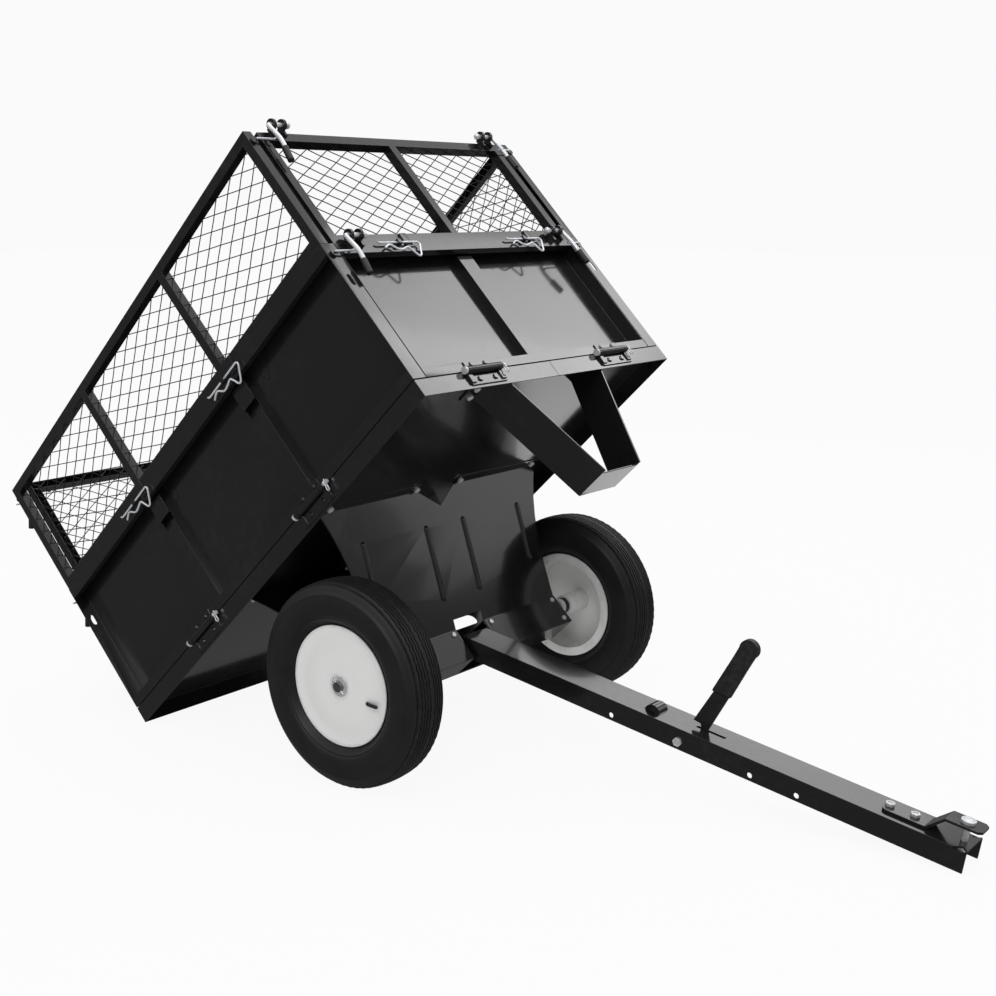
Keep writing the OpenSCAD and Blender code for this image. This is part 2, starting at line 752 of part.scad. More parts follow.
// Moving half of a hinge: a leaf on the panel's lower lip and a barrel on the pin.
module hinge_barrel() {
    barrel_len = hinge_len - 2 * 12 - 2;
    difference() {
        union() {
            translate([-barrel_len / 2, 0, 0]) rotate([0, 90, 0]) cylinder(r = knuckle_r, h = barrel_len);
            translate([-barrel_len / 2, -hinge_out, gap + 2]) cube([barrel_len, 2.5, 18]);
            translate([-barrel_len / 2, -hinge_out, gap + 2]) cube([barrel_len, hinge_out, 3]);
        }
        translate([-hinge_len, 0, 0]) rotate([0, 90, 0]) cylinder(r = hinge_d / 2 + run, h = 2 * hinge_len);
    }
    for (x = [-20, 20]) translate([x, -hinge_out + 2.5, 14]) rotate([-90, 0, 0])
        cylinder(d1 = 11, d2 = 7, h = 3);
}

// Stud on the top rail that a frame pin runs through.
module pin_stud() {
    difference() {
        translate([-5, 0, panel_h - 13]) cube([10, 11, 11]);
        translate([-6, pin_y, panel_h - 7.5]) rotate([0, 90, 0]) cylinder(d = 6, h = 12);
    }
}

module drop_panel(len, ribs, hinges, pins, end_holes) {
    deep = recess + sheet;
    color("#202022") difference() {
        union() {
            translate([-len / 2, 0, 0]) rotate([90, 0, 90]) linear_extrude(len) panel_section();
            for (s = SIDES) translate([s * (len - sheet) / 2 - sheet / 2, -deep, 0])
                cube([sheet, deep, panel_h]);
            for (x = ribs) translate([x, 0, 0]) panel_rib();
            each_hinge(hinges) hinge_barrel();
            for (x = pins) translate([x, 0, 0]) pin_stud();
        }
        if (end_holes) translate([-len, -recess / 2, panel_h - 86]) {
            for (z = [-8, 8]) translate([0, 0, z]) rotate([0, 90, 0]) cylinder(d = 10, h = 2 * len);
            translate([0, -5, -8]) cube([2 * len, 10, 16]);
        }
    }
    // round buffers that the latch fingers close on
    if (end_holes) color("#18181a") for (s = SIDES)
        translate([s * (len / 2 - eps), -recess / 2, panel_h - 25])
        rotate([0, s * 90, 0]) cylinder(r = 8, h = 5);
}

// Open channel frame for the mesh, standing on the panel's top rail.
module mesh_frame(len, posts, stakes, end_pads) {
    t = 2;
    color("#1d1d1f") translate([0, -inset, panel_h]) {
        for (z = [0, mesh_h - tube]) translate([-len / 2, -tube, z]) difference() {
            cube([len, tube, tube]);
            translate([t, -1, t]) cube([len - 2 * t, tube - t + 1, tube - 2 * t]);
        }
        for (x = concat([-len / 2, len / 2 - tube], [for (p = posts) p - tube / 2]))
            translate([x, -tube, tube - eps]) difference() {
                cube([tube, tube, mesh_h - 2 * tube + 2 * eps]);
                translate([t, -1, -1]) cube([tube - 2 * t, tube - t + 1, mesh_h]);
            }
        if (end_pads) color("#18181a") for (s = SIDES)
            translate([s * (len / 2 - eps), -tube / 2, mesh_h - 25])
            rotate([0, s * 90, 0]) cylinder(r = 8, h = 5);
        // stakes that reach down over the top rail's face
        for (x = stakes) translate([x - 9, 0, -16]) difference() {
            cube([18, 3 + inset, 34]);
            translate([-1, -1, -1]) cube([20, 1 + inset, 17]);
        }
    }
}

// One straight wire at distance c from the centre of a panel's lower edge, cut to the frame.
module mesh_wire(c, a, len, height) {
    p = [c * sin(a), -c * cos(a)];
    xs = [(-len / 2 - p[0]) / cos(a), (len / 2 - p[0]) / cos(a)];
    zs = [-p[1] / sin(a), (height - p[1]) / sin(a)];
    from = max(min(xs), min(zs));
    to = min(max(xs), max(zs));
    if (to - from > 24) {
        a0 = p + from * [cos(a), sin(a)];
        a1 = p + to * [cos(a), sin(a)];
        rod([a0[0], 0, a0[1]], [a1[0], 0, a1[1]], wire_d);
    }
}

// Diamond mesh: two layers of straight wires on the inner face of the frame.
module mesh(len) {
    inner_len = len - 12;
    inner_h = mesh_h - 12;
    reach = ceil((inner_len / 2 * sin(wire_angle) + inner_h) / wire_pitch);
    color("#2a2a2b") for (layer = [0, 1]) scale([layer == 0 ? 1 : -1, 1, 1])
        translate([0, -1 - tube - (layer + 0.5) * wire_d - layer * 0.1, panel_h + 6])
            for (i = [-reach:reach]) mesh_wire((i + 0.5) * wire_pitch, wire_angle, inner_len, inner_h);
}

// Spring pins through their studs: a straight leg along the rail and a waved leg below it.
module frame_pins(pins) {
    color("#dfe2e5") for (x = pins) translate([x - 52, pin_y, panel_h - 7.5]) rotate([90, 0, 0])
        bent_wire([[108, 3], [104, 0], [0, 0], [-4, -4], [14, -34], [22, -34], [34, -12], [62, -18],
            [82, -5], [98, -12]], 4);
}

// Lugs on a panel's corner that carry a latch rod; face is where the panel's surface lies.
module latch_lugs(len, z, face) {
    color("#18181a") for (s = SIDES, x = [len / 2 - lug_in, len / 2 - lug_out]) translate([s * x - 3, 0, z])
        difference() {
            union() {
                translate([0, latch_y, latch_z]) rotate([0, 90, 0]) cylinder(r = lug_r, h = 6);
                translate([0, face, -16]) cube([6, 10 - face, 24]);
            }
            translate([-1, latch_y, latch_z]) rotate([0, 90, 0]) cylinder(r = rod_d / 2 + run, h = 8);
        }
}

// Latch rod: cross pin with a ball end, and a handle that hangs down outside the outer lug.
module latch_rod(len, s, z, swing) {
    handle_x = len / 2 - handle_in;
    bend = 0.45 * handle_len;
    color("#d5d8db") scale([s, 1, 1]) translate([0, latch_y, z + latch_z]) rotate([swing, 0, 0]) {
        translate([len / 2 - 70, 0, 0]) rotate([0, 90, 0]) cylinder(d = rod_d, h = 45);
        translate([len / 2 - 73, 0, 0]) rotate([0, 90, 0]) sphere(d = 14);
        translate([handle_x, 0, 0]) rotate([0, -90, 0]) sphere(d = rod_d + 1.2);
        rod([handle_x, 0, 0], [handle_x, 5, -bend], rod_d);
        translate([handle_x, 5, -bend]) sphere(d = rod_d + 0.8);
        rod([handle_x, 5, -bend], [handle_x + 7, 2, -handle_len], rod_d);
        // finger over the buffer on the neighbouring panel's end
        translate([handle_x - 3, -latch_y + 5.6, -36]) cube([handle_in + 24, 4, 8]);
        translate([handle_x - 3, -latch_y + 5.6, -36]) cube([6, latch_y - 3, 8]);
    }
}

module latch_grip(len, s, z, swing) {
    handle_x = len / 2 - handle_in;
    bend = 0.45 * handle_len;
    a = [handle_x, 5, -bend];
    b = [handle_x + 7, 2, -handle_len];
    dir = (b - a) / norm(b - a);
    color("#1a1a1c") scale([s, 1, 1]) translate([0, latch_y, z + latch_z])
        rotate([swing, 0, 0]) difference() {
        rod(b - 28 * dir, b + 5 * dir, rod_d + 4);
        rod(b - 40 * dir, b, rod_d + 2 * run);
    }
}

low_z = panel_h;
high_z = panel_h + mesh_h;
side_posts = [-tray_len / 6, tray_len / 6];
side_len = tray_len;
gate_pins = [-195, 195];
stake_step = 32;

function side_hinge_x(d) = [for (x = side_hinges) d * (x + side_hinge_shift)];
function side_pins(d) = [for (x = [-197, 197]) d * (x + side_hinge_shift)];
function beside(pins) = [for (x = pins) x - stake_step];

module gate() {
    drop_panel(gate_len, [0], gate_hinges, gate_pins, false);
    latch_lugs(gate_len, low_z, -eps);
}

module gate_mesh_frame() {
    mesh_frame(gate_len, [0], beside(gate_pins), false);
    latch_lugs(gate_len, high_z, -inset - eps);
}

module front_gate() { tray_frame() at_front() gate(); }
module rear_gate() { tray_frame() at_rear() gate(); }
module front_mesh_frame() { tray_frame() at_front() gate_mesh_frame(); }
module rear_mesh_frame() { tray_frame() at_rear() gate_mesh_frame(); }
module front_mesh() { tray_frame() at_front() mesh(gate_len); }
module rear_mesh() { tray_frame() at_rear() mesh(gate_len); }
module front_frame_pins() { tray_frame() at_front() frame_pins(gate_pins); }
module rear_frame_pins() { tray_frame() at_rear() frame_pins(gate_pins); }

module side_panel(d) {
    drop_panel(side_len, side_posts, side_hinge_x(d), side_pins(d), true);
}

module side_mesh_frame(d) {
    mesh_frame(side_len, side_posts, beside(side_pins(d)), true);
}

module left_side() { tray_frame() at_left() side_panel(1); }
module right_side() { tray_frame() at_right() side_panel(-1); }
module left_mesh_frame() { tray_frame() at_left() side_mesh_frame(1); }
module right_mesh_frame() { tray_frame() at_right() side_mesh_frame(-1); }
module left_mesh() { tray_frame() at_left() mesh(side_len); }
module right_mesh() { tray_frame() at_right() mesh(side_len); }
module left_frame_pins() { tray_frame() at_left() frame_pins(side_pins(1)); }
module right_frame_pins() { tray_frame() at_right() frame_pins(side_pins(-1)); }

// On the front gate, x runs to the right; on the rear gate, to the left.
// The front handles lean on their gate, and the rear ones hang free, plumb while the tray is tipped.
module rod_front(s, z) { tray_frame() at_front() latch_rod(gate_len, s, z, 0); }
module rod_rear(s, z) { tray_frame() at_rear() latch_rod(gate_len, s, z, tip - hang); }
module grip_front(s, z) { tray_frame() at_front() latch_grip(gate_len, s, z, 0); }
module grip_rear(s, z) { tray_frame() at_rear() latch_grip(gate_len, s, z, tip - hang); }
module latch_rod_front_left_low() { rod_front(-1, low_z); }
module latch_rod_front_right_low() { rod_front(1, low_z); }
module latch_rod_rear_left_low() { rod_rear(1, low_z); }
module latch_rod_rear_right_low() { rod_rear(-1, low_z); }
module latch_rod_front_left_high() { rod_front(-1, high_z); }
module latch_rod_front_right_high() { rod_front(1, high_z); }
module latch_rod_rear_left_high() { rod_rear(1, high_z); }
module latch_rod_rear_right_high() { rod_rear(-1, high_z); }
module latch_grip_front_left_low() { grip_front(-1, low_z); }
module latch_grip_front_right_low() { grip_front(1, low_z); }
module latch_grip_front_left_high() { grip_front(-1, high_z); }
module latch_grip_front_right_high() { grip_front(1, high_z); }
module latch_grip_rear_left_low() { grip_rear(1, low_z); }
module latch_grip_rear_right_low() { grip_rear(-1, low_z); }
module latch_grip_rear_left_high() { grip_rear(1, high_z); }
module latch_grip_rear_right_high() { grip_rear(-1, high_z); }

drawbar_channel();
hitch_strap();
strap_bolts();
lever_pivot_bolt();
lever_spring();
hitch_pin();
hitch_pin_clip();
latch_lever();
lever_grip();
floor_left();
floor_right();
stand_front();
stand_rear();
axle_beam();
stub_axles();
drawbar_pivot_bolt();
latch_bracket();
tray_bolts();
hinge_leaves();
hinge_pins();
hinge_pin_clips();
wheel_retainers();
tyre_left();
rim_left();
hub_bush_left();
tyre_right();
rim_right();
hub_bush_right();
front_gate();
front_mesh_frame();
front_mesh();
front_frame_pins();
rear_gate();
rear_mesh_frame();
rear_mesh();
rear_frame_pins();
left_side();
left_mesh_frame();
left_mesh();
left_frame_pins();
right_side();
right_mesh_frame();
right_mesh();
right_frame_pins();
latch_rod_front_left_low();
latch_rod_front_right_low();
latch_rod_rear_left_low();
latch_rod_rear_right_low();
latch_rod_front_left_high();
latch_rod_front_right_high();
latch_rod_rear_left_high();
latch_rod_rear_right_high();
latch_grip_front_left_low();
latch_grip_front_right_low();
latch_grip_front_left_high();
latch_grip_front_right_high();
latch_grip_rear_left_low();
latch_grip_rear_right_low();
latch_grip_rear_left_high();
latch_grip_rear_right_high();
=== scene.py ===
"""Looks of a tow-behind garden cart, built around its CAD frame.

Sizes are in millimetres in the tray's or the drawbar's own level frame, and are turned into the
row frame in metres as each piece is finished. Both frames start in the middle of the axle line.
"""

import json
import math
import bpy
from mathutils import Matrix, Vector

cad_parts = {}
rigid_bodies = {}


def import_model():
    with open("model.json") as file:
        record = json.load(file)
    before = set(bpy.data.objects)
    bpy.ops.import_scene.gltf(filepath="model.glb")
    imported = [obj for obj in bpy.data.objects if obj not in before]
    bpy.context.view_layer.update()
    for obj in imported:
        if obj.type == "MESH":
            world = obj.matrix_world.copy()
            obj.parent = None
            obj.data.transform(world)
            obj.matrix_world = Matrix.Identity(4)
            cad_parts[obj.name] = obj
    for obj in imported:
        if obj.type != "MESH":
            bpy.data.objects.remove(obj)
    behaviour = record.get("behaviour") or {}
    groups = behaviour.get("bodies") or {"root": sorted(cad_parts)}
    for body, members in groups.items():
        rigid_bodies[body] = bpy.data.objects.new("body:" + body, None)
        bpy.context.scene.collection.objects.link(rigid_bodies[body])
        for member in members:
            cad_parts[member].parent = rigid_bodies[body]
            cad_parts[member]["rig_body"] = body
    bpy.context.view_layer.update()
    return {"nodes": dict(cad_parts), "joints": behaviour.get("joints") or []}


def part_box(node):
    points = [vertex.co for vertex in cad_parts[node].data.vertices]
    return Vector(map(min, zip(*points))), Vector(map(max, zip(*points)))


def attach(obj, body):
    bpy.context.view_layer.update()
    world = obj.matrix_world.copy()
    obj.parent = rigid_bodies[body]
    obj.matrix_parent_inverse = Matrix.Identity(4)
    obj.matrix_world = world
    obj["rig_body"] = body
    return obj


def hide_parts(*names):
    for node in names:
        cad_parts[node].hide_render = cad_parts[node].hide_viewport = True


bl_info = {
    "name": "Tow behind cart",
    "version": (1, 0, 0),
    "blender": (4, 5, 0),
    "location": "View3D > Sidebar > Cart",
    "description": "Builds the coated steel, wheels, mesh, pins and grips of a tipping garden cart",
    "category": "Object",
}

import bmesh
import bpy
from bpy.props import FloatProperty, FloatVectorProperty, IntProperty, PointerProperty
from mathutils import Matrix, Vector

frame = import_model()
JOINTS = {j["name"]: j for j in frame["joints"]}
MM = 0.001

# ---- places, worked out from the frame's joints ----

AXLE = Vector((JOINTS["wheel_left_spin"]["pos_m"][0], 0, JOINTS["wheel_left_spin"]["pos_m"][2]))
TRACK_HALF = JOINTS["wheel_left_spin"]["pos_m"][1] / MM
_along = JOINTS["right_side_drop"]["axis"]
TIP = math.atan2(_along[2], _along[0])
_upright = JOINTS["hitch_pin_lift"]["axis"]
DROOP = math.atan2(_upright[0], _upright[2])
TO_METRES = Matrix.Scale(MM, 4)
TRAY = Matrix.Translation(AXLE) @ Matrix.Rotation(-TIP, 4, "Y") @ TO_METRES
BAR = Matrix.Translation(AXLE) @ Matrix.Rotation(DROOP, 4, "Y") @ TO_METRES


def in_tray(joint):
    """Place of a joint in the tray's own frame, in millimetres."""
    return TRAY.inverted() @ Vector(JOINTS[joint]["pos_m"])


HINGE_OUT = 7.5
HINGE_GAP = 2.0
DECK = in_tray("front_gate_drop").z
PANEL_Z = DECK + HINGE_GAP
FRONT = in_tray("front_gate_drop").x - HINGE_OUT
REAR = in_tray("rear_gate_drop").x + HINGE_OUT
MIDDLE = (FRONT + REAR) / 2
HALF_W = in_tray("left_side_drop").y - HINGE_OUT
PANEL_H = 312.0
MESH_H = 276.0
RECESS = 32.0
SHEET = 2.0
TUBE = 20.0
INSET = 1.0
GATE_LEN = 2 * (HALF_W - RECESS - SHEET - HINGE_GAP)
SIDE_LEN = FRONT - REAR


def turned(angle):
    return Matrix.Rotation(math.radians(angle), 4, "Z")


# A panel's own frame: X along it, Y outwards from its face, Z up from its lower edge.
PANELS = {
    "front": TRAY @ Matrix.Translation((FRONT, 0, PANEL_Z)) @ turned(-90),
    "rear": TRAY @ Matrix.Translation((REAR, 0, PANEL_Z)) @ turned(90),
    "left": TRAY @ Matrix.Translation((MIDDLE, HALF_W, PANEL_Z)),
    "right": TRAY @ Matrix.Translation((MIDDLE, -HALF_W, PANEL_Z)) @ turned(180),
}
PANEL_BODY = {"front": "front_gate", "rear": "rear_gate", "left": "left_side", "right": "right_side"}


# ---- sizes and colours that a user would change ----


class CartSizes(bpy.types.PropertyGroup):
    edge: FloatProperty(
        name="Steel edge", description="Rounding of the sheet steel's edges, in mm",
        default=0.7, min=0.1, max=2,
    )
    edge_steps: IntProperty(
        name="Edge steps", description="Faces across a rounded steel edge", default=2, min=1, max=5
    )
    wire_pitch: FloatProperty(
        name="Wire pitch", description="Distance between neighbouring mesh wires, in mm",
        default=29, min=15, max=60,
    )
    wire_angle: FloatProperty(
        name="Wire angle", description="Angle of the mesh wires to the rail, in degrees",
        default=31, min=20, max=45,
    )
    wire_radius: FloatProperty(
        name="Wire radius", description="Radius of the mesh wire, in mm", default=1.0, min=0.5, max=2
    )
    tyre_radius: FloatProperty(
        name="Tyre radius", description="Radius of the tyre, in mm", default=200, min=150, max=250
    )
    tyre_width: FloatProperty(
        name="Tyre width", description="Width of the tyre, in mm", default=100, min=60, max=140
    )
    tyre_steps: IntProperty(
        name="Tyre steps", description="Steps round the tyre; the tread's teeth follow them", default=144
    )
    rim_radius: FloatProperty(
        name="Rim radius", description="Radius of the rim's rolled lip, in mm", default=117, min=90, max=140
    )


class CartColours(bpy.types.PropertyGroup):
    coat: FloatVectorProperty(
        name="Powder coat", description="Colour of the coated steel", subtype="COLOR", size=3,
        default=(0.0075, 0.0075, 0.008), min=0, max=1,
    )
    rim: FloatVectorProperty(
        name="Rim paint", description="Colour of the rims", subtype="COLOR", size=3,
        default=(0.8, 0.8, 0.79), min=0, max=1,
    )
    rubber: FloatVectorProperty(
        name="Rubber", description="Colour of the tyres", subtype="COLOR", size=3,
        default=(0.008, 0.008, 0.0083), min=0, max=1,
    )
    vinyl: FloatVectorProperty(
        name="Vinyl", description="Colour of the grips", subtype="COLOR", size=3,
        default=(0.012, 0.012, 0.0125), min=0, max=1,
    )
    zinc: FloatVectorProperty(
        name="Zinc", description="Colour of the plated pins and bolts", subtype="COLOR", size=3,
        default=(0.86, 0.87, 0.88), min=0, max=1,
    )


def sizes():
    return bpy.context.scene.cart_sizes


def colours():
    return bpy.context.scene.cart_colours


# ---- shaders ----

# Sockets of the Mix node when it mixes colours, which share their names with its other kinds.
MIX_MASK, MIX_FIRST, MIX_SECOND, MIX_COLOUR = 0, 6, 7, 2


class Wire:
    """A value socket that adds Math nodes when it is used in an expression."""

    def __init__(self, tree, socket):
        self.tree = tree
        self.socket = socket

    def _math(self, operation, first, second=None, clamp=False):
        n = self.tree.nodes.new("ShaderNodeMath")
        n.operation = operation
        n.use_clamp = clamp
        for slot, value in zip(n.inputs, (first, second)):
            if isinstance(value, Wire):
                self.tree.links.new(value.socket, slot)
            elif value is not None:
                slot.default_value = value
        return Wire(self.tree, n.outputs[0])

    def __add__(self, other):
        return self._math("ADD", self, other)

    def __mul__(self, other):
        return self._math("MULTIPLY", self, other)

    def __sub__(self, other):
        return self._math("SUBTRACT", self, other)

    def above(self, low, high):
        """0 below low, 1 above high, straight between."""
        return self._math("MULTIPLY", self - low, 1 / (high - low), clamp=True)


class Finish:
    """A material under construction: one Principled shader and the nodes that feed it."""

    def __init__(self, name, **values):
        self.material = bpy.data.materials.new(name)
        self.material.use_nodes = True
        self.tree = self.material.node_tree
        self.shader = self.tree.nodes["Principled BSDF"]
        self.place = self.node("TexCoord", {}, {}, "Object")
        for key, value in values.items():
            self.shader.inputs[key.replace("_", " ").title().replace("Ior", "IOR")].default_value = value

    def node(self, kind, settings, inputs, output=0):
        """One node: its settings first, then the values or links of its sockets."""
        n = self.tree.nodes.new("ShaderNode" + kind)
        for key, value in settings.items():
            setattr(n, key, value)
        for key, value in inputs.items():
            if isinstance(value, Wire):
                self.tree.links.new(value.socket, n.inputs[key])
            else:
                n.inputs[key].default_value = value
        return Wire(self.tree, n.outputs[output])

    def noise(self, scale, detail=2.0, rough=0.5, stretch=None):
        where = self.place
        if stretch:
            where = self.node("Mapping", {}, {"Vector": self.place, "Scale": stretch})
        return self.node(
            "TexNoise", {}, {"Vector": where, "Scale": scale, "Detail": detail, "Roughness": rough}, "Fac"
        )

    def cells(self, scale):
        return self.node("TexVoronoi", {}, {"Vector": self.place, "Scale": scale}, "Distance")

    def attribute(self, name):
        return self.node("Attribute", {"attribute_name": name}, {}, "Fac")

    def mix(self, mask, first, second):
        """A colour between two others, or wires of colours."""
        ends = {MIX_FIRST: _colour(first), MIX_SECOND: _colour(second)}
        return self.node("Mix", {"data_type": "RGBA"}, {MIX_MASK: mask, **ends}, MIX_COLOUR)

    def bump(self, height, strength, distance):
        return self.node("Bump", {}, {"Height": height, "Strength": strength, "Distance": distance})

    def feed(self, **wires):
        for key, wire in wires.items():
            self.tree.links.new(wire.socket, self.shader.inputs[key.replace("_", " ").title()])
        return self.material


def _colour(value):
    if isinstance(value, Wire):
        return value
    return (*value, 1.0)


def scaled(colour, factor):
    return tuple(min(1.0, c * factor) for c in colour)


def powder_coat():
    """Gloss black powder coat: a fine orange peel, soft smears of dust, and a painted highlight in patches
    on the rounded edges.
    """
    base = tuple(colours().coat)
    f = Finish("gloss_black_powder_coat", roughness=0.2, ior=1.5, coat_weight=0.35, coat_roughness=0.06)
    peel = f.noise(420, 2, 0.5)
    pores = f.noise(1500, 1, 0.5)
    smear = f.noise(5.5, 5, 0.6, (1, 1, 0.6))
    dust = (f.noise(60, 3, 0.7) * smear).above(0.26, 0.62)
    # Painted highlight: the rounded edges are made lighter in patches, and a little rougher.
    edge = f.attribute("edge") * f.noise(130, 3, 0.6).above(0.35, 0.75)
    tone = f.mix(dust, base, scaled(base, 2.3))
    tone = f.mix(edge * 0.5, tone, scaled(base, 5))
    rough = smear * 0.1 + dust * 0.08 + edge * 0.12 + 0.1
    bump = f.bump(peel * 0.8 + pores * 0.2, 0.02, 0.0004)
    return f.feed(base_color=tone, roughness=rough, normal=bump)


def wire_coat():
    """Black dipped coating on galvanised wire, worn a little grey in small patches."""
    base = tuple(colours().coat)
    f = Finish("black_wire_coating", roughness=0.42, ior=1.5)
    wear = f.noise(260, 3, 0.6).above(0.58, 0.8)
    tone = f.mix(wear * 0.6, scaled(base, 1.4), (0.06, 0.06, 0.062))
    rough = f.noise(90, 2, 0.5) * 0.2 + 0.32
    bump = f.bump(f.noise(900, 2, 0.5), 0.25, 0.0004)
    return f.feed(base_color=tone, roughness=rough, normal=bump)


def tyre_rubber():
    """Moulded rubber with a fine grain, grey bloom and a little dry dust in the tread."""
    base = tuple(colours().rubber)
    f = Finish("tyre_rubber", roughness=0.5, ior=1.42)
    bloom = f.noise(14, 5, 0.65)
    grain = f.noise(1100, 3, 0.6)
    specks = f.cells(700)
    dust = f.attribute("tread") * f.noise(70, 4, 0.7).above(0.42, 0.72)
    tone = f.mix(bloom.above(0.35, 0.75), base, scaled(base, 1.7))
    tone = f.mix(dust * 0.3, tone, (0.035, 0.033, 0.03))
    rough = bloom * 0.2 + dust * 0.16 + 0.38
    bump = f.bump(grain * 0.6 + specks * 0.4, 0.22, 0.0005)
    return f.feed(base_color=tone, roughness=rough, normal=bump)


def rim_paint():
    """Gloss white paint on pressed steel, with faint dirt towards the hub, and painted shade on the rolled
    lip and the inner side.
    """
    base = tuple(colours().rim)
    f = Finish("gloss_white_rim_paint", roughness=0.24, ior=1.5, coat_weight=0.3, coat_roughness=0.05)
    # Painted shade on the rolled lip and the inner side, and dirt near the hub, darken the paint here.
    hub_grime_and_painted_shade = f.attribute("hub_grime_and_painted_shade") * f.noise(38, 5, 0.7).above(0.34, 0.78)
    specks = f.noise(400, 2, 0.5).above(0.7, 0.82) * 0.25
    tone = f.mix(hub_grime_and_painted_shade * 0.55, base, (0.36, 0.35, 0.33))
    tone = f.mix(specks, tone, (0.5, 0.49, 0.47))
    rough = f.noise(20, 3, 0.6) * 0.12 + hub_grime_and_painted_shade * 0.25 + 0.17
    bump = f.bump(f.noise(300, 2, 0.5), 0.05, 0.0005)
    return f.feed(base_color=tone, roughness=rough, normal=bump)


def bright_zinc():
    """Bright zinc on bent wire and rod: mottled, with faint blue and straw tints."""
    base = tuple(colours().zinc)
    f = Finish("bright_zinc_plate", roughness=0.22, metallic=0.45)
    mottle = f.noise(120, 4, 0.65)
    tint = f.noise(45, 2, 0.5)
    tone = f.mix(tint.above(0.35, 0.7), base, (0.66, 0.69, 0.75))
    tone = f.mix(mottle.above(0.55, 0.8) * 0.5, tone, (0.72, 0.69, 0.6))
    rough = mottle * 0.22 + 0.1
    bump = f.bump(f.noise(900, 2, 0.5), 0.08, 0.0003)
    return f.feed(base_color=tone, roughness=rough, normal=bump)


def plated_fastener():
    """Zinc plated bolts: duller, with wrench marks and darker mottling."""
    base = scaled(tuple(colours().zinc), 0.92)
    f = Finish("zinc_plated_fasteners", roughness=0.32, metallic=0.5)
    mottle = f.noise(240, 4, 0.7)
    marks = f.noise(700, 2, 0.5, (1, 1, 7)).above(0.56, 0.7)
    tone = f.mix(mottle.above(0.4, 0.8), base, (0.5, 0.5, 0.5))
    tone = f.mix(marks * 0.4, tone, (0.33, 0.32, 0.3))
    rough = mottle * 0.3 + 0.16
    bump = f.bump(mottle * 0.5 + marks * 0.5, 0.14, 0.0003)
    return f.feed(base_color=tone, roughness=rough, normal=bump)


def drawn_steel():
    """Plain drawn steel with an oily grey skin, as on the axle stubs and the spring."""
    f = Finish("plain_drawn_steel", roughness=0.4, metallic=1.0)
    skin = f.noise(60, 4, 0.65)
    lines = f.noise(600, 2, 0.5, (1, 0.05, 1))
    tone = f.mix(skin.above(0.35, 0.75), (0.36, 0.36, 0.37), (0.2, 0.19, 0.18))
    rough = skin * 0.3 + lines * 0.12 + 0.2
    bump = f.bump(lines, 0.12, 0.0003)
    return f.feed(base_color=tone, roughness=rough, normal=bump)


def dipped_vinyl():
    """Soft black dipped vinyl with slow waves and a fine skin."""
    base = tuple(colours().vinyl)
    f = Finish("dipped_vinyl", roughness=0.45, ior=1.48)
    waves = f.noise(110, 2, 0.5)
    skin = f.noise(1600, 2, 0.6)
    tone = f.mix(waves.above(0.4, 0.7), base, scaled(base, 1.8))
    rough = waves * 0.22 + skin * 0.08 + 0.3
    bump = f.bump(waves * 0.7 + skin * 0.3, 0.3, 0.0008)
    return f.feed(base_color=tone, roughness=rough, normal=bump)


def moulded_plastic():
    """Matte black moulded plastic with spark-eroded grain."""
    f = Finish("moulded_black_plastic", roughness=0.5, ior=1.46)
    grain = f.noise(1300, 3, 0.6)
    patch = f.noise(40, 3, 0.6)
    tone = f.mix(patch.above(0.4, 0.7), (0.012, 0.012, 0.012), (0.022, 0.022, 0.022))
    rough = patch * 0.16 + grain * 0.1 + 0.38
    bump = f.bump(grain, 0.2, 0.0004)
    return f.feed(base_color=tone, roughness=rough, normal=bump)


FINISHES = {
    "black_powder": powder_coat,
    "mesh_wire": wire_coat,
    "tyre_rubber": tyre_rubber,
    "white_rim": rim_paint,
    "bright_zinc": bright_zinc,
    "zinc_fasteners": plated_fastener,
    "plain_steel": drawn_steel,
    "black_vinyl": dipped_vinyl,
    "black_plastic": moulded_plastic,
}
_made = {}


def finish_for(slot):
    if slot not in _made:
        _made[slot] = FINISHES[slot]()
    return _made[slot]


# ---- mesh helpers ----

LARGE_FACE_WEIGHT = 90
FLAT_WITHIN = 0.6
CORNER = 28.0


def spread(layer, faces):
    """Marks faces in a float attribute that a material reads."""
    for face in faces:
        face[layer] = 1.0


def soft_shading(bm, sharp=50.0):
    """Smooth faces with creases at the corners; softened() keeps the larger faces flat by weighted normals.
    """
    for face in bm.faces:
        face.smooth = True
    for edge in bm.edges:
        edge.smooth = len(edge.link_faces) == 2 and math.degrees(edge.calc_face_angle(0)) < sharp


def piece(name, bm, slot, body, replaced=(), place=None):
    """Turns a bmesh into a finished piece that rides on a body and stands for CAD nodes."""
    if place is not None:
        bmesh.ops.transform(bm, matrix=place, verts=bm.verts)
    mesh = bpy.data.meshes.new(name)
    bm.to_mesh(mesh)
    bm.free()
    mesh.materials.append(finish_for(slot))
    obj = bpy.data.objects.new(name, mesh)
    bpy.context.scene.collection.objects.link(obj)
    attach(obj, body)
    if replaced:
        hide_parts(*replaced)
    return obj


def body_of_node(node):
    return frame["nodes"][node]["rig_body"]


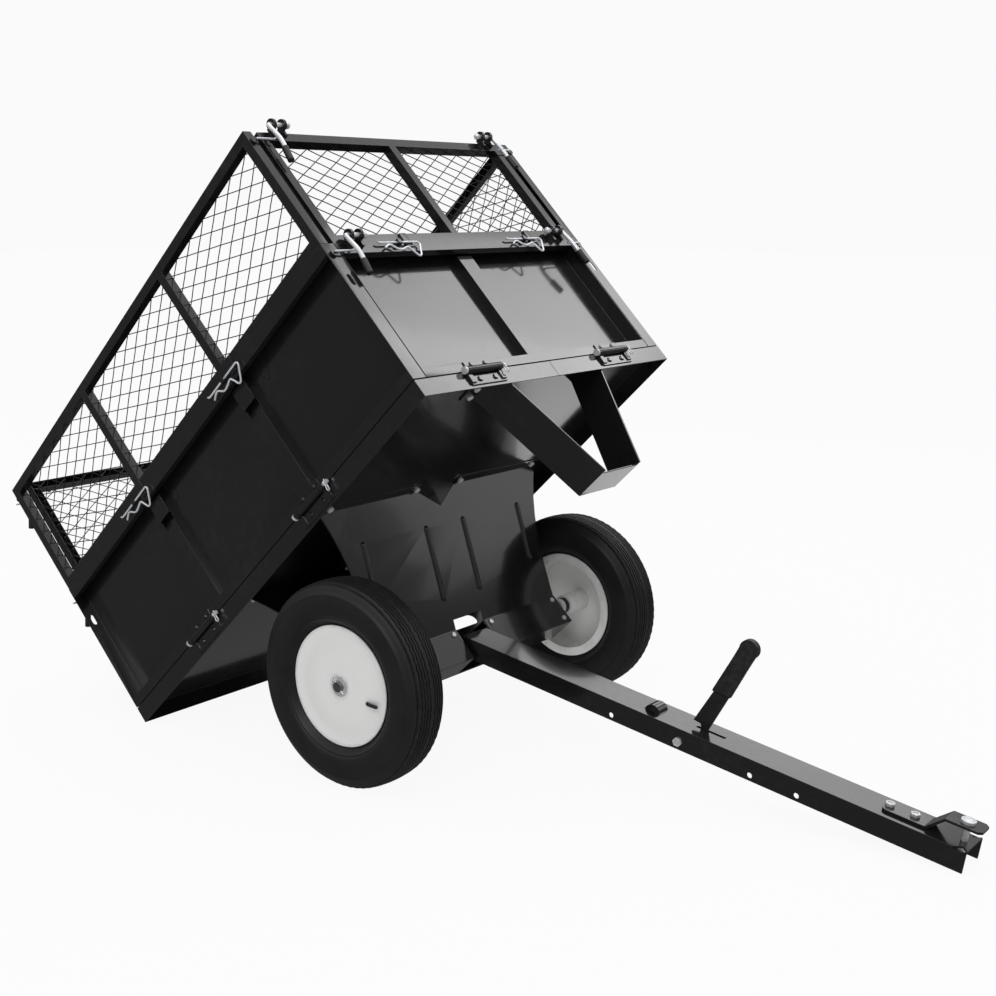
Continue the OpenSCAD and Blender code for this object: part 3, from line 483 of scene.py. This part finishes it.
def softened(node, slot, width, steps, shortest=2.6, shaped=None):
    """Puts in a CAD node's place a copy with rounded edges; shaped may cut the copy first."""
    bm = bmesh.new()
    edge_mark = bm.faces.layers.float.new("edge")
    bm.from_mesh(frame["nodes"][node].data)
    bmesh.ops.remove_doubles(bm, verts=bm.verts, dist=1e-6)
    bmesh.ops.dissolve_limit(
        bm, angle_limit=math.radians(FLAT_WITHIN), use_dissolve_boundaries=False,
        verts=bm.verts, edges=bm.edges,
    )
    if shaped is not None:
        shaped(bm)
    corners = [
        e for e in bm.edges
        if len(e.link_faces) == 2
        and e.calc_face_angle(0) > math.radians(CORNER)
        and e.calc_length() > shortest * MM
    ]
    made = bmesh.ops.bevel(
        bm, geom=corners, offset=width * MM, offset_type="OFFSET", affect="EDGES", segments=steps,
        profile=0.5, material=-1, clamp_overlap=False, loop_slide=True,
    )
    rounded = [f for f in made["faces"] if f.is_valid]
    # The powder coat paints a highlight on these rounded faces.
    spread(edge_mark, rounded)
    soft_shading(bm)
    obj = piece(node + "_finished", bm, slot, body_of_node(node), [node])
    weighted = obj.modifiers.new("flat faces stay flat", "WEIGHTED_NORMAL")
    weighted.weight = LARGE_FACE_WEIGHT
    weighted.keep_sharp = True


def lathe(profile, steps, marks=()):
    """A closed ring turned about the Y axis from points (radius, y); marks are (attribute, test)."""
    bm = bmesh.new()
    verts = [bm.verts.new((r, y, 0)) for r, y in profile]
    for first, second in zip(verts, verts[1:] + verts[:1]):
        bm.edges.new((first, second))
    bmesh.ops.spin(
        bm, geom=bm.verts[:] + bm.edges[:], cent=(0, 0, 0), axis=(0, 1, 0), dvec=(0, 0, 0),
        angle=math.tau, steps=steps, use_merge=True,
    )
    bmesh.ops.recalc_face_normals(bm, faces=bm.faces)
    for name, test in marks:
        mark = bm.faces.layers.float.new(name)
        spread(mark, [f for f in bm.faces if test(*_ring_place(f))])
    return bm


def _ring_place(face):
    centre = face.calc_center_median()
    return math.hypot(centre.x, centre.z), centre.y


def bent_rod(points, radius, sides=10, smooth=3):
    """A round rod along a smooth line through points, with rounded ends."""
    line = catmull(points, smooth)
    bm = bmesh.new()
    start = (line[1] - line[0]).normalized()
    turn = start.to_track_quat("Z", "Y").to_matrix().to_4x4()
    bmesh.ops.create_circle(
        bm, segments=sides, radius=radius, cap_ends=True, matrix=Matrix.Translation(line[0]) @ turn
    )
    face = bm.faces[:][0]
    previous = start
    for i in range(1, len(line)):
        here = (line[i] - line[i - 1]).normalized()
        ahead = (line[i + 1] - line[i]).normalized() if i < len(line) - 1 else here
        bend = (here + ahead).normalized()
        made = bmesh.ops.extrude_discrete_faces(bm, faces=[face])
        face = made["faces"][0]
        centre = face.calc_center_median()
        spin = previous.rotation_difference(bend).to_matrix()
        for v in face.verts:
            v.co = line[i] + spin @ (v.co - centre)
        previous = bend
    bmesh.ops.remove_doubles(bm, verts=bm.verts, dist=radius * 1e-3)
    bmesh.ops.recalc_face_normals(bm, faces=bm.faces)
    ends = [f for f in bm.faces if len(f.verts) == sides]
    rim = [e for f in ends for e in f.edges]
    bmesh.ops.bevel(
        bm, geom=rim, offset=radius * 0.45, offset_type="OFFSET", affect="EDGES", segments=2, profile=0.5,
        material=-1,
    )
    for f in bm.faces:
        f.smooth = True
    return bm


def catmull(points, steps):
    """A smooth line through points, with steps parts between neighbours."""
    ps = [Vector(p) for p in points]
    ps = [ps[0] * 2 - ps[1], *ps, ps[-1] * 2 - ps[-2]]
    line = []
    for a, b, c, d in zip(ps, ps[1:], ps[2:], ps[3:]):
        for k in range(steps):
            t = k / steps
            square = (2 * a - 5 * b + 4 * c - d) * t ** 2
            cube = (3 * b - a - 3 * c + d) * t ** 3
            line.append(0.5 * (2 * b + (c - a) * t + square + cube))
    line.append(ps[-2])
    return line


def joined(parts):
    """Several bmeshes as one."""
    whole = bmesh.new()
    for part in parts:
        mesh = bpy.data.meshes.new("part")
        part.to_mesh(mesh)
        part.free()
        whole.from_mesh(mesh)
        bpy.data.meshes.remove(mesh)
    return whole


def ball(radius, place, squash=1.0):
    bm = bmesh.new()
    bmesh.ops.create_uvsphere(
        bm, u_segments=20, v_segments=12, radius=radius,
        matrix=Matrix.Translation(place) @ Matrix.Diagonal((squash, 1, 1, 1)),
    )
    for f in bm.faces:
        f.smooth = True
    return bm


# ---- steel ----

FOLDED = [
    "drawbar_channel", "hitch_strap", "latch_lever", "floor_left", "floor_right", "axle_beam",
    "latch_bracket", "front_gate", "rear_gate", "left_side", "right_side", "front_mesh_frame",
    "rear_mesh_frame", "left_mesh_frame", "right_mesh_frame", "hinge_leaves", "stand_front", "stand_rear",
]
PLATED = ["strap_bolts", "lever_pivot_bolt", "drawbar_pivot_bolt", "tray_bolts", "hinge_pins", "hitch_pin",
          "wheel_retainers"]
PLAIN = ["stub_axles", "lever_spring"]


STRAP_REAR = 930
STRAP_FRONT = 1080
STRAP_SIDE = 19
STRAP_THICK = 7


def strap_corners(bm):
    """Rounds the hitch strap's rear corners and clips its front ones."""
    upright = (BAR.to_3x3() @ Vector((0, 0, 1))).normalized()
    back = BAR.inverted()
    for test, offset, steps in ((lambda s: s < STRAP_REAR, 12.0, 6), (lambda s: s > STRAP_FRONT, 7.0, 1)):
        ends = [
            e for e in bm.edges
            if abs((e.verts[1].co - e.verts[0].co).normalized().dot(upright)) > 0.99
            and abs((back @ e.verts[0].co).y) > STRAP_SIDE and test((back @ e.verts[0].co).x)
            and e.calc_length() < STRAP_THICK * MM
        ]
        bmesh.ops.bevel(
            bm, geom=ends, offset=offset * MM, offset_type="OFFSET", affect="EDGES", segments=steps,
            profile=0.5, material=-1,
        )


class CART_OT_steel(bpy.types.Operator):
    """Rounds the edges of the folded steel and gives it its powder coat"""

    bl_idname = "cart.steel"
    bl_label = "Coated steel"

    def execute(self, context):
        for node in FOLDED:
            shaped = strap_corners if node == "hitch_strap" else None
            softened(node, "black_powder", sizes().edge, sizes().edge_steps, shaped=shaped)
        return {"FINISHED"}


class CART_OT_fasteners(bpy.types.Operator):
    """Rounds the bolts, pins and washers and plates them"""

    bl_idname = "cart.fasteners"
    bl_label = "Fasteners"

    def execute(self, context):
        for node in PLATED:
            softened(node, "zinc_fasteners", 0.5, 2, shortest=1.2)
        for node in PLAIN:
            softened(node, "plain_steel", 0.5, 2, shortest=1.2)
        softened("lever_grip", "black_vinyl", 3.0, 4, shortest=4)
        return {"FINISHED"}


# ---- wheels ----

GROOVES = (27, 20, 13, 6)
GROOVE_DEPTH = 3.4
GROOVE_WAVE = 1.1
# How fast the tread falls away from its middle, per square millimetre.
CROWN = 0.0026
HUB_BORE = 17.4
RIM_STEPS = 128


def tyre_profile():
    """Points (radius, y) of the tyre's section, outside first and then back along the inner wall."""
    half = sizes().tyre_width / 2
    r = sizes().tyre_radius
    lip = sizes().rim_radius
    side = [
        (lip - 13.7, 30.6), (lip + 1.5, 30.8), (lip + 4.5, 33.5), (lip + 7, 36.5), (lip + 12, half - 9),
        (lip + 13.5, half - 6.6), (lip + 15.5, half - 6.6), (lip + 17, half - 5), (r - 62, half - 2.6),
        (r - 54, half - 0.8), (r - 46, half), (r - 38, half - 0.4), (r - 30, half - 1.6),
        (r - 25, half - 2.8), (r - 24, half - 2.2), (r - 21.5, half - 3), (r - 20.5, half - 4.4),
        (r - 15, half - 7.6), (r - 10, half - 11),
    ]
    tread = [(r - 7.5, half - 13), (r - 10, half - 14.5), (r - 9.5, half - 16), (r - 4.5, half - 17.5)]
    for centre in GROOVES:
        for aside, deep in ((1.7, 0), (0.9, GROOVE_DEPTH), (-0.9, GROOVE_DEPTH), (-1.7, 0)):
            tread.append((r - CROWN * (centre + aside) ** 2 - deep, centre + aside))
    outer = side + tread
    mirrored = [(a, -b) for a, b in reversed(outer)]
    whole = outer + [p for p in mirrored if p not in outer]
    inner = [
        (lip - 13.7, -23), (r - 64, -half + 14), (r - 30, -half + 12), (r - 15, -half + 30),
        (r - 15, half - 30), (r - 30, half - 12), (r - 64, half - 14), (lip - 13.7, 23),
    ]
    return whole + inner


def tyre():
    """A ribbed garden-cart tyre, with toothed rib edges and moulded rings on its wall."""
    r = sizes().tyre_radius
    bm = lathe(tyre_profile(), sizes().tyre_steps, [("tread", lambda rad, y: rad > r - 12)])
    step = math.tau / sizes().tyre_steps
    for v in bm.verts:
        if math.hypot(v.co.x, v.co.z) > r - 8 and abs(v.co.y) < GROOVES[0] + 4:
            tooth = round(math.atan2(v.co.z, v.co.x) / step) % 2
            v.co.y += GROOVE_WAVE if tooth else -GROOVE_WAVE
    soft_shading(bm, 40)
    return bm


def rim(sign):
    """A pressed steel rim: rolled lips, barrel, shallow disc near the outer side, hub tube."""
    lip = sizes().rim_radius
    barrel = lip - 14.5
    profile = [
        (barrel, 29), (barrel + 1.5, 30.2), (lip - 3, 30.6), (lip - 0.6, 31.3), (lip, 32.6),
        (lip - 0.6, 34), (lip - 2.4, 34.6), (lip - 6, 34), (lip - 12, 31.6), (lip - 19, 29.9),
        (lip - 26, 30.2), (lip - 36, 31.8), (lip - 52, 33.2), (60, 33.6), (50, 33.2), (40, 32.4),
        (30, 32), (27, 32.4), (25, 33.4), (HUB_BORE, 33.5), (HUB_BORE, -37), (21.5, -37), (22, -36.4),
        (22, 27.5), (24, 29.8), (40, 30.2), (60, 31), (lip - 36, 29.4), (lip - 22, 27.4),
        (barrel - 2.6, 25.5), (barrel - 2.6, -29), (barrel - 4, -33.2), (lip - 8, -34.4),
        (lip - 2.4, -34.6), (lip - 0.6, -34), (lip, -32.6), (lip - 0.6, -31.3), (lip - 3, -30.6),
        (barrel + 1.5, -30.2), (barrel, -29),
    ]
    bm = lathe(
        [(a, b * sign) for a, b in profile], RIM_STEPS,
        # Marks the faces for painted shade on the rolled lip and the inner side, and for dirt near the hub.
        [("hub_grime_and_painted_shade", lambda rad, y: rad < 25 or rad > lip - 5 or y * sign < 20)],
    )
    soft_shading(bm, 44)
    return bm


def valve(sign):
    """A short rubber valve stem that lies along the disc, with its cap."""
    base = Vector((sizes().rim_radius - 49, 33 * sign, -19))
    way = [(0, -4 * sign, 0), (3, 2.2 * sign, 0), (12, 3.2 * sign, -0.6), (28, 3.4 * sign, -1.5)]
    return bent_rod([base + Vector(p) for p in way], 3.4, 12, 4)


class CART_OT_wheels(bpy.types.Operator):
    """Builds the tyres, rims, hub bushes and valves"""

    bl_idname = "cart.wheels"
    bl_label = "Wheels"

    def execute(self, context):
        for side, sign in (("left", 1), ("right", -1)):
            place = Matrix.Translation(AXLE + Vector((0, sign * TRACK_HALF * MM, 0))) @ TO_METRES
            body = f"wheel_{side}"
            piece(f"tyre_{side}_moulded", tyre(), "tyre_rubber", body, [f"tyre_{side}"], place)
            piece(f"rim_{side}_pressed", rim(sign), "white_rim", body, [f"rim_{side}"], place)
            piece(f"valve_{side}", valve(sign), "black_plastic", body, [], place)
            softened(f"hub_bush_{side}", "black_plastic", 1.0, 3)
        return {"FINISHED"}


# ---- mesh ----

WIRE_MARGIN = 12
SHORTEST_WIRE = 24
WIRE_WAVE = 0.55
WIRE_BEHIND = 2.05


def mesh_wires(length):
    """Two families of wires that cross at each diamond's corner and pass over and under."""
    pitch, slope = sizes().wire_pitch, math.radians(sizes().wire_angle)
    inner_len, inner_h = length - WIRE_MARGIN, MESH_H - WIRE_MARGIN
    reach = math.ceil((inner_len / 2 * math.sin(slope) + inner_h) / pitch)
    cell = pitch / math.sin(2 * slope)
    parts = []
    for family in (1, -1):
        along = Vector((math.cos(slope) * family, 0, math.sin(slope)))
        across = Vector((math.sin(slope) * family, 0, -math.cos(slope)))
        for i in range(-reach, reach):
            foot = across * ((i + 0.5) * pitch)
            spans = [sorted((side * inner_len / 2 - foot.x) / along.x for side in (-1, 1))]
            spans.append((-foot.z / along.z, (inner_h - foot.z) / along.z))
            low, high = max(s[0] for s in spans), min(s[1] for s in spans)
            if high - low >= SHORTEST_WIRE:
                parts.append(woven(foot, along, low, high, cell, family, i))
    return joined(parts)


def woven(foot, along, low, high, cell, family, index):
    """One wire, waved a little so that it passes over one crossing wire and under the next."""
    depth = -INSET - TUBE - WIRE_BEHIND
    count = max(2, math.ceil((high - low) / (cell / 2)))
    line = []
    for k in range(count + 1):
        t = low + (high - low) * k / count
        lift = WIRE_WAVE * family * math.cos(math.pi * (t / cell + index))
        line.append(foot + along * t + Vector((0, depth + lift, PANEL_H + WIRE_MARGIN / 2)))
    return bent_rod(line, sizes().wire_radius, 6, 1)


class CART_OT_mesh(bpy.types.Operator):
    """Weaves the diamond mesh of the four upper frames"""

    bl_idname = "cart.mesh"
    bl_label = "Mesh"

    def execute(self, context):
        for side, place in PANELS.items():
            wires = mesh_wires(SIDE_LEN if side in ("left", "right") else GATE_LEN)
            piece(f"{side}_mesh_woven", wires, "mesh_wire", PANEL_BODY[side], [f"{side}_mesh"], place)
        return {"FINISHED"}


# ---- pins, clips and latches ----

PIN_Y = 6.0
PIN_BELOW_RAIL = 7.5
PIN_MIDDLE = 52
HINGE_CLIP_AT = -56
SIDE_SHIFT = -15.0
# How far a pair sits from the middle of its panel, on a gate and on a side panel.
PIN_REACH = (195, 197)
HINGE_REACH = (209, 218)


def frame_pin(x):
    """A spring pin bent from round wire: one straight leg along the rail and one waved leg."""
    z = PANEL_H - PIN_BELOW_RAIL
    points = [
        (110, 3), (106, 0.6), (98, 0), (60, 0), (8, 0), (1, -0.5), (-3, -4), (-2, -9), (5, -20), (11, -30),
        (16, -34.5), (22, -33), (28, -22), (33, -14), (38, -12.5), (48, -15.5), (60, -18), (68, -15),
        (76, -8), (82, -5.4), (88, -7), (99, -13),
    ]
    return bent_rod([(x - PIN_MIDDLE + a, PIN_Y, z + b) for a, b in points], 2.0, 12, 3)


def pair_along(side, on_gate, on_side):
    """Where the two pins or hinges of a panel are; a side panel's pair sits nearer the rear."""
    if side in ("front", "rear"):
        return (-on_gate, on_gate)
    turn = 1 if side == "left" else -1
    return [turn * (x + SIDE_SHIFT) for x in (-on_side, on_side)]


class CART_OT_pins(bpy.types.Operator):
    """Bends the spring pins of the mesh frames and the clips of the hinge and hitch pins"""

    bl_idname = "cart.pins"
    bl_label = "Spring pins"

    def execute(self, context):
        for side, place in PANELS.items():
            pins = joined([frame_pin(x) for x in pair_along(side, *PIN_REACH)])
            piece(f"{side}_pins_bent", pins, "bright_zinc", PANEL_BODY[side], [f"{side}_frame_pins"], place)
        clips = [
            self.hinge_clip(place, x)
            for side, place in PANELS.items()
            for x in pair_along(side, *HINGE_REACH)
        ]
        piece("hinge_clips_bent", joined(clips), "bright_zinc", "tray", ["hinge_pin_clips"])
        piece("hitch_clip_bent", self.hitch_clip(), "bright_zinc", "hitch_pin", ["hitch_pin_clip"], BAR)
        return {"FINISHED"}

    def hinge_clip(self, place, x):
        points = [
            (0, 7), (0, 0), (0, -8), (0, -13), (1.2, -16.4), (4, -17.4), (6.3, -15), (5.6, -11),
            (4.4, -7.5), (4.9, -3.5), (5.7, 0), (5.2, 2.6),
        ]
        at = Vector((x + HINGE_CLIP_AT, HINGE_OUT, -HINGE_GAP))
        clip = bent_rod([at + Vector((0, a, b)) for a, b in points], 1.2, 8, 3)
        bmesh.ops.transform(clip, matrix=place, verts=clip.verts)
        return clip

    def hitch_clip(self):
        pin = hitch_clip_place()
        points = [
            (0, -14), (0, -8), (0, 0), (0, 10), (-1.4, 14.6), (-5, 16.6), (-8.4, 14.5), (-8.6, 10.5),
            (-7.6, 6), (-8.6, 1), (-9, -3), (-7, -7), (-7.4, -12),
        ]
        return bent_rod([pin + Vector((a, b, 0)) for a, b in points], 1.45, 10, 3)


def hitch_clip_place():
    """On the hitch pin's axis at the height of its clip, in the drawbar's own frame."""
    low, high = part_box("hitch_pin_clip")
    centre = BAR.inverted() @ ((low + high) / 2)
    head_low, head_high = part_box("hitch_pin")
    axis = BAR.inverted() @ ((head_low + head_high) / 2)
    return Vector((axis.x, 0, centre.z))


LATCH_Y = 13.0
LATCH_Z = 7.0
HANDLE_IN = 25.0
HANDLE_LEN = 90.0
HANG = 3.0
ROD_R = 4.5
FINGER_R = 2.0


def latch_rod():
    """Cross pin with a domed head, and a handle that hangs down beside the outer lug."""
    x = GATE_LEN / 2 - HANDLE_IN
    way = [
        (x - 50, 0, 0), (x - 25, 0, 0), (x - 6, 0, 0), (x - 1.6, 0.1, -0.8), (x + 0.4, 0.6, -4),
        (x + 0.6, 1.4, -12), (x, 4, -30), (x, 5, -42), (x + 1.6, 4.6, -58), (x + 4.2, 3.4, -74),
        (x + 7, 2, -HANDLE_LEN),
    ]
    finger = [(x, 4.4, -32), (x, -2, -32), (x + 3, -5.2, -32), (x + 10, -5.4, -32), (x + 46, -5.4, -32)]
    head = ball(7, (x - 48, 0, 0), 0.8)
    return joined([bent_rod(way, ROD_R, 16, 3), head, bent_rod(finger, FINGER_R, 10, 3)])


def latch_grip():
    """The dipped grip over the lower end of the handle."""
    x = GATE_LEN / 2 - HANDLE_IN
    a, b = Vector((x, 5, -0.45 * HANDLE_LEN)), Vector((x + 7, 2, -HANDLE_LEN))
    way = (b - a).normalized()
    start = b - 28 * way
    skin = [start, start + 1.5 * way, start + 14 * way, b + 1.5 * way, b + 5 * way]
    return bent_rod(skin, ROD_R + 2, 20, 2)


class CART_OT_latches(bpy.types.Operator):
    """Bends the eight corner latches and dips their grips"""

    bl_idname = "cart.latches"
    bl_label = "Corner latches"

    def execute(self, context):
        for end, swing in (("front", 0.0), ("rear", TIP - math.radians(HANG))):
            for side in ("left", "right"):
                mirror = -1 if (end == "front") == (side == "left") else 1
                for level, z in (("low", PANEL_H), ("high", PANEL_H + MESH_H)):
                    place = (
                        PANELS[end] @ Matrix.Translation((0, LATCH_Y, z + LATCH_Z))
                        @ Matrix.Rotation(swing, 4, "X") @ Matrix.Diagonal((mirror, 1, 1, 1))
                    )
                    self.latch(f"{end}_{side}_{level}", place, mirror)
        return {"FINISHED"}

    def latch(self, name, place, mirror):
        for kind, bm, slot in (
            ("rod", latch_rod(), "bright_zinc"), ("grip", latch_grip(), "black_vinyl"),
        ):
            if mirror < 0:
                bmesh.ops.reverse_faces(bm, faces=bm.faces)
            piece(f"latch_{kind}_{name}_round", bm, slot, f"latch_{name}", [f"latch_{kind}_{name}"], place)


# ---- stage ----

CAMERA_FROM_AXLE = Vector((1.8381, -2.2826, 1.0786))
CAMERA_LOOKS = Vector((-0.60131, 0.77486, -0.19497))
LENS = 53.06
SENSOR = 36.0


def area_light(name, place, target, width, height, power):
    data = bpy.data.lights.new(name, "AREA")
    data.shape = "RECTANGLE"
    data.size, data.size_y = width, height
    data.energy = power
    obj = bpy.data.objects.new(name, data)
    obj.location = place
    obj.rotation_euler = (Vector(target) - Vector(place)).to_track_quat("-Z", "Y").to_euler()
    bpy.context.scene.collection.objects.link(obj)


# Each softbox: name, place, the point that it faces, width, height, radiance.
SOFTBOXES = [
    ("gate_softbox", (0.74, 4.2, 4.2), (0.74, 0, 4.2), 1.1, 2.6, 2.3),
    ("gate_highlight", (0.95, 4.15, 4.2), (0.95, 0, 4.2), 0.5, 1.9, 1.6),
    ("drawbar_softbox", (-1.25, 4.2, 2.55), (-1.25, 0, 2.55), 2.7, 0.9, 1.3),
    ("overhead_softbox", (-0.6, 0.4, 4.8), (-0.3, 0, 0.5), 3.4, 2.8, 1.6),
    ("stand_softbox", (2.9, 4.2, 1.9), (0.1, 0, 0.4), 1.3, 1.6, 0.8),
    ("key_softbox", (1.6, -2.9, 3.7), (-0.1, -0.2, 0.5), 1.5, 1.3, 6.5),
]
FLOOR_LIGHT = 0.93
CARD_LIGHT = 1.1
FLOOR_HALF = 30
# Cards just under the floor: name, half sizes, place.
CARDS = [
    ("bracket_card", (0.11, 0.16), (0.12, 0.86, -0.01)),
    ("deck_card", (0.26, 0.2), (-0.12, 1.17, -0.01)),
]
BACKDROP = (0.05, 0.05, 0.05)
SEEN_WHITE = (0.956, 0.956, 0.956, 1)
ROOM_LOW = (0.55, (0.14, 0.14, 0.14, 1))
ROOM_HIGH = (0.8, (0.75, 0.75, 0.76, 1))


def glowing(name, strength):
    """A matt sheet that sheds its own even light."""
    f = Finish(name, roughness=1.0)
    f.shader.inputs["Specular IOR Level"].default_value = 0
    f.shader.inputs["Emission Color"].default_value = (1, 1, 1, 1)
    f.shader.inputs["Emission Strength"].default_value = strength
    return f.feed(base_color=f.mix(f.noise(3, 2, 0.5), BACKDROP, scaled(BACKDROP, 0.97)))


class CART_OT_stage(bpy.types.Operator):
    """Sets up the pale floor, the soft lights and the camera"""

    bl_idname = "cart.stage"
    bl_label = "Stage"

    def execute(self, context):
        scene = context.scene
        pale = glowing("pale_floor", FLOOR_LIGHT)
        floor = self.sheet(scene, "floor", (FLOOR_HALF, FLOOR_HALF), (0, 0, 0), pale)
        floor.visible_glossy = False
        self.world(scene)
        self.cards(scene)
        for name, place, target, width, height, radiance in SOFTBOXES:
            area_light(name, place, target, width, height, radiance * math.pi * width * height)
        camera = bpy.data.cameras.new("camera")
        camera.lens, camera.sensor_width = LENS, SENSOR
        camera.clip_end = 200
        eye = bpy.data.objects.new("camera", camera)
        eye.location = Vector((AXLE.x, 0, 0)) + CAMERA_FROM_AXLE
        eye.rotation_mode = "QUATERNION"
        eye.rotation_quaternion = CAMERA_LOOKS.to_track_quat("-Z", "Y")
        scene.collection.objects.link(eye)
        scene.camera = eye
        scene.view_settings.view_transform = "Standard"
        return {"FINISHED"}

    def sheet(self, scene, name, halves, place, material):
        bm = bmesh.new()
        spread_out = Matrix.Translation(place) @ Matrix.Diagonal((*halves, 1, 1))
        bmesh.ops.create_grid(bm, x_segments=1, y_segments=1, size=1, matrix=spread_out)
        mesh = bpy.data.meshes.new(name)
        bm.to_mesh(mesh)
        bm.free()
        mesh.materials.append(material)
        obj = bpy.data.objects.new(name, mesh)
        scene.collection.objects.link(obj)
        return obj

    def cards(self, scene):
        """Bright cards just under the floor, which only the gloss of the undersides sees."""
        bright = glowing("card", CARD_LIGHT)
        for name, halves, place in CARDS:
            card = self.sheet(scene, name, halves, place, bright)
            card.visible_camera = False
            card.visible_diffuse = False
            card.visible_shadow = False

    def world(self, scene):
        """White where the camera looks past the cart, and a soft grey room for light and reflections."""
        world = bpy.data.worlds.new("studio")
        scene.world = world
        world.use_nodes = True
        nodes, links = world.node_tree.nodes, world.node_tree.links
        room = nodes["Background"]
        where = nodes.new("ShaderNodeTexCoord")
        split = nodes.new("ShaderNodeSeparateXYZ")
        ramp = nodes.new("ShaderNodeValToRGB")
        for stop, (position, colour) in zip(ramp.color_ramp.elements, (ROOM_LOW, ROOM_HIGH)):
            stop.position, stop.color = position, colour
        rise = nodes.new("ShaderNodeMath")
        rise.operation = "MULTIPLY_ADD"
        rise.inputs[1].default_value = 0.5
        rise.inputs[2].default_value = 0.5
        links.new(where.outputs["Generated"], split.inputs[0])
        links.new(split.outputs["Z"], rise.inputs[0])
        links.new(rise.outputs[0], ramp.inputs[0])
        links.new(ramp.outputs[0], room.inputs["Color"])
        seen = nodes.new("ShaderNodeBackground")
        seen.inputs["Color"].default_value = SEEN_WHITE
        ray = nodes.new("ShaderNodeLightPath")
        choose = nodes.new("ShaderNodeMixShader")
        links.new(ray.outputs["Is Camera Ray"], choose.inputs[0])
        links.new(room.outputs[0], choose.inputs[1])
        links.new(seen.outputs[0], choose.inputs[2])
        links.new(choose.outputs[0], nodes["World Output"].inputs["Surface"])


# ---- add-on ----

OPERATORS = [
    CART_OT_steel, CART_OT_fasteners, CART_OT_wheels, CART_OT_mesh, CART_OT_pins, CART_OT_latches,
    CART_OT_stage,
]


class CART_PT_panel(bpy.types.Panel):
    """Lists the steps that build the cart"""

    bl_label = "Tow behind cart"
    bl_idname = "CART_PT_panel"
    bl_space_type = "VIEW_3D"
    bl_region_type = "UI"
    bl_category = "Cart"

    def draw(self, context):
        layout = self.layout
        for group in (context.scene.cart_sizes, context.scene.cart_colours):
            box = layout.box()
            for key in group.__annotations__:
                box.prop(group, key)
        for operator in OPERATORS:
            layout.operator(operator.bl_idname)


CLASSES = [CartSizes, CartColours, *OPERATORS, CART_PT_panel]


def register():
    for cls in CLASSES:
        bpy.utils.register_class(cls)
    bpy.types.Scene.cart_sizes = PointerProperty(type=CartSizes)
    bpy.types.Scene.cart_colours = PointerProperty(type=CartColours)


def unregister():
    del bpy.types.Scene.cart_colours
    del bpy.types.Scene.cart_sizes
    for cls in reversed(CLASSES):
        bpy.utils.unregister_class(cls)


def main():
    register()
    for operator in OPERATORS:
        group, name = operator.bl_idname.split(".")
        getattr(getattr(bpy.ops, group), name)()


if __name__ == "__main__":
    main()
